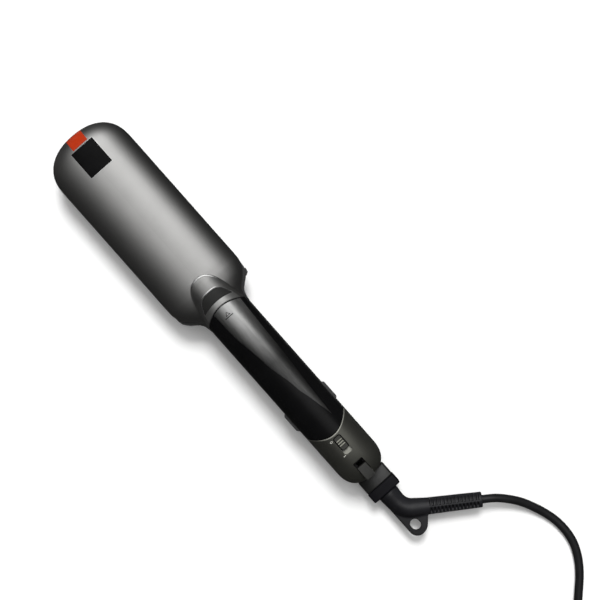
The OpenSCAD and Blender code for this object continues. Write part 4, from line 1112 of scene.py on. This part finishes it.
add_verts(bm, v1, f1)
n = len(edge)
add_verts(bm, [(x, y, 10.4) for x, y in edge] + [(x, y, 15.6) for x, y in edge],
          [list(range(n))[::-1], list(range(n, 2 * n))] + [[k, (k + 1) % n, n + (k + 1) % n, n + k] for k in range(n)])
bmesh.ops.recalc_face_normals(bm, faces=bm.faces)
boot = from_bm("cord_elbow", bm, M["boot"], None, bevel=0, smooth=True)
boot.modifiers.clear()
r = boot.modifiers.new("one_skin", "REMESH")
r.mode, r.voxel_size, r.use_smooth_shade = "VOXEL", 0.42 * MM, True
s = boot.modifiers.new("soft", "SMOOTH")
s.factor, s.iterations = 0.5, 7
made_solid(boot)
n = len(hole)
bm = bmesh.new()
add_verts(bm, [(x, y, 4) for x, y in hole] + [(x, y, 22) for x, y in hole],
          [list(range(n))[::-1], list(range(n, 2 * n))] + [[k, (k + 1) % n, n + (k + 1) % n, n + k] for k in range(n)])
bmesh.ops.recalc_face_normals(bm, faces=bm.faces)
punch = from_bm("cut_hole", bm, M["boot"], None)
punch.modifiers.clear()
b = boot.modifiers.new("hole", "BOOLEAN")
b.operation, b.solver, b.object = "DIFFERENCE", "EXACT", punch
made_solid(boot)
bpy.data.objects.remove(punch)
boot.data.polygons.foreach_set("use_smooth", [True] * len(boot.data.polygons))
boot.data.set_sharp_from_angle(angle=math.radians(50))
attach(boot, "swivel")
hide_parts("cord_boot")

sleeve_len = (BOOT_B - BOOT_A).length
verts, faces = [], []
side = Vector((0, 0, 1)).cross(BOOT_DIR)
prof = [(-3.0, 5.0), (-1.2, 5.8), (0.0, 6.05)] + [(d, 6.05 - 0.5 * d / sleeve_len) for d in np.arange(0.25, sleeve_len - 0.7, 0.25)]
prof = [(float(d), float(rr)) for d, rr in prof]
prof += [(sleeve_len - 0.5, 5.55), (sleeve_len - 0.2, 5.45), (sleeve_len - 0.03, 5.2), (sleeve_len, 4.7), (sleeve_len, 3.0)]
pitch, ring_n = (sleeve_len - 4.6) / 13.5, 96
for d, rr in prof:
    for j in range(ring_n):
        a = 2 * math.pi * j / ring_n
        off = math.degrees(math.asin(max(-1, min(1, math.cos(a)))))  # degrees from the upright plane, to either side
        row = 0.0 if off > 0 else 0.5
        part = ((d - 2.6) / pitch + row) % 1.0
        here = 1 - step(0.2, 0.31, abs(part - 0.5))
        wide = step(6, 12, abs(off)) * (1 - step(50, 60, abs(off)))
        ends = step(1.5, 2.0, d) * (1 - step(sleeve_len - 2.6, sleeve_len - 2.1, d))
        r = rr - 2.0 * here * wide * ends
        verts.append(BOOT_A + BOOT_DIR * d + r * (math.cos(a) * side + math.sin(a) * Vector((0, 0, 1))))
faces = grid_faces(len(prof), ring_n, close_v=True) + [list(range(ring_n)), [(len(prof) - 1) * ring_n + j for j in range(ring_n)][::-1]]
finish_mesh("cord_sleeve", verts, faces, M["rubber"], "swivel", ["cord_boot"], sharp=50)


# ---- finishes of the CAD pieces that are kept --------------------------------------------
SLOTS = {"head_paint": "head_low", "handle_black": "handle", "soft_black": "soft", "tail_grey": "tail", "ring_silver": "ring", "tank_black": "tank",
         "inlay_grey": "blade", "plate_coat": "plate", "ceramic": "ceramic", "cast_aluminium": "alu", "circuit_board": "pcb", "insulation_red": "wire",
         "steel": "steel", "nickel": "nickel", "soft_rubber": "feet", "cord_rubber": "cord", "accent_orange": "accent", "badge_black": "badge",
         "control_grey": "button", "slot_grey": "slot", "smoked_window": "window", "tube_clear": "clear"}
KEPT = {"upper_handle_frame": "handle", "lower_handle_shell": "handle", "upper_plate_frame": "frame", "lower_plate_frame": "frame", "tank_cap": "cap", "rest_feet": "feet"}
for name, ob in node.items():
    for s in ob.material_slots:
        key = KEPT.get(name) or SLOTS.get(s.material.name.split(".")[0] if s.material else "", "soft")
        s.material = M[key]


# ---- floor and light ---------------------------------------------------------------------
def floor_material():
    m = material("floor_paper", (0.93, 0.93, 0.925), rough=0.9, spread=0.006, mottle=4, grain=900, bump=0.02, bump_mm=0.1, specular=0.1)
    return m


bm = bmesh.new()
bmesh.ops.create_grid(bm, x_segments=24, y_segments=24, size=3.0)
floor = from_bm("floor", bm, floor_material(), None)
floor.modifiers.clear()
floor.visible_glossy = False


def area(name, loc, target, size, watts, glossy=True, shape="RECTANGLE", size_y=None, diffuse=True):
    d = bpy.data.lights.new(name, "AREA")
    d.energy, d.shape, d.size = watts, shape, size
    if size_y:
        d.size_y = size_y
    ob = bpy.data.objects.new(name, d)
    col.objects.link(ob)
    ob.location = loc
    ob.rotation_euler = (Vector(target) - Vector(loc)).to_track_quat("-Z", "Y").to_euler()
    ob.visible_glossy, ob.visible_diffuse, ob.visible_camera = glossy, diffuse, False
    return ob


# a wide soft box overhead, a little to the +Y side, and a smaller light that only makes the soft shadow
area("softbox_top", (-0.50, 0.46, 1.75), (-0.50, 0.0, 0.03), 1.95, 15.5, size_y=1.2)
sun = bpy.data.objects.new("soft_key", bpy.data.lights.new("soft_key", "SUN"))
col.objects.link(sun)
sun.data.energy, sun.data.angle = 1.95, math.radians(17)
sun.rotation_euler = Vector((0.40, -0.35, -0.97)).to_track_quat("-Z", "Y").to_euler()
sun.visible_glossy = False
area("softbox_edge", (-1.15, 1.0, 1.7), (0.0, 0.0, 0.0), 0.6, 5, size_y=0.6)

world = bpy.data.worlds.new("studio")
bpy.context.scene.world = world
world.use_nodes = True
wn, wl = world.node_tree.nodes, world.node_tree.links
bg = wn["Background"]
lp, way, parts = wn.new("ShaderNodeLightPath"), wn.new("ShaderNodeTexCoord"), wn.new("ShaderNodeSeparateXYZ")
wl.new(way.outputs["Generated"], parts.inputs["Vector"])
sky = wn.new("ShaderNodeMapRange")
sky.interpolation_type = "SMOOTHSTEP"
sky.inputs["From Min"].default_value, sky.inputs["From Max"].default_value = 0.0, 0.45
sky.inputs["To Min"].default_value, sky.inputs["To Max"].default_value = 0.035, 0.01
wl.new(parts.outputs["Z"], sky.inputs["Value"])
tone = wn.new("ShaderNodeMix")
tone.data_type = "FLOAT"
tone.inputs["A"].default_value = 0.36
wl.new(sky.outputs["Result"], tone.inputs["B"])
wl.new(lp.outputs["Is Glossy Ray"], tone.inputs["Factor"])
seen = wn.new("ShaderNodeMix")
seen.data_type = "FLOAT"
seen.inputs["B"].default_value = 0.95
wl.new(tone.outputs["Result"], seen.inputs["A"])
wl.new(lp.outputs["Is Camera Ray"], seen.inputs["Factor"])
wl.new(seen.outputs["Result"], bg.inputs["Strength"])
bg.inputs["Color"].default_value = (1.0, 1.0, 1.0, 1)
bpy.context.scene.view_settings.view_transform = "Standard"
bpy.context.scene.view_settings.look = "None"
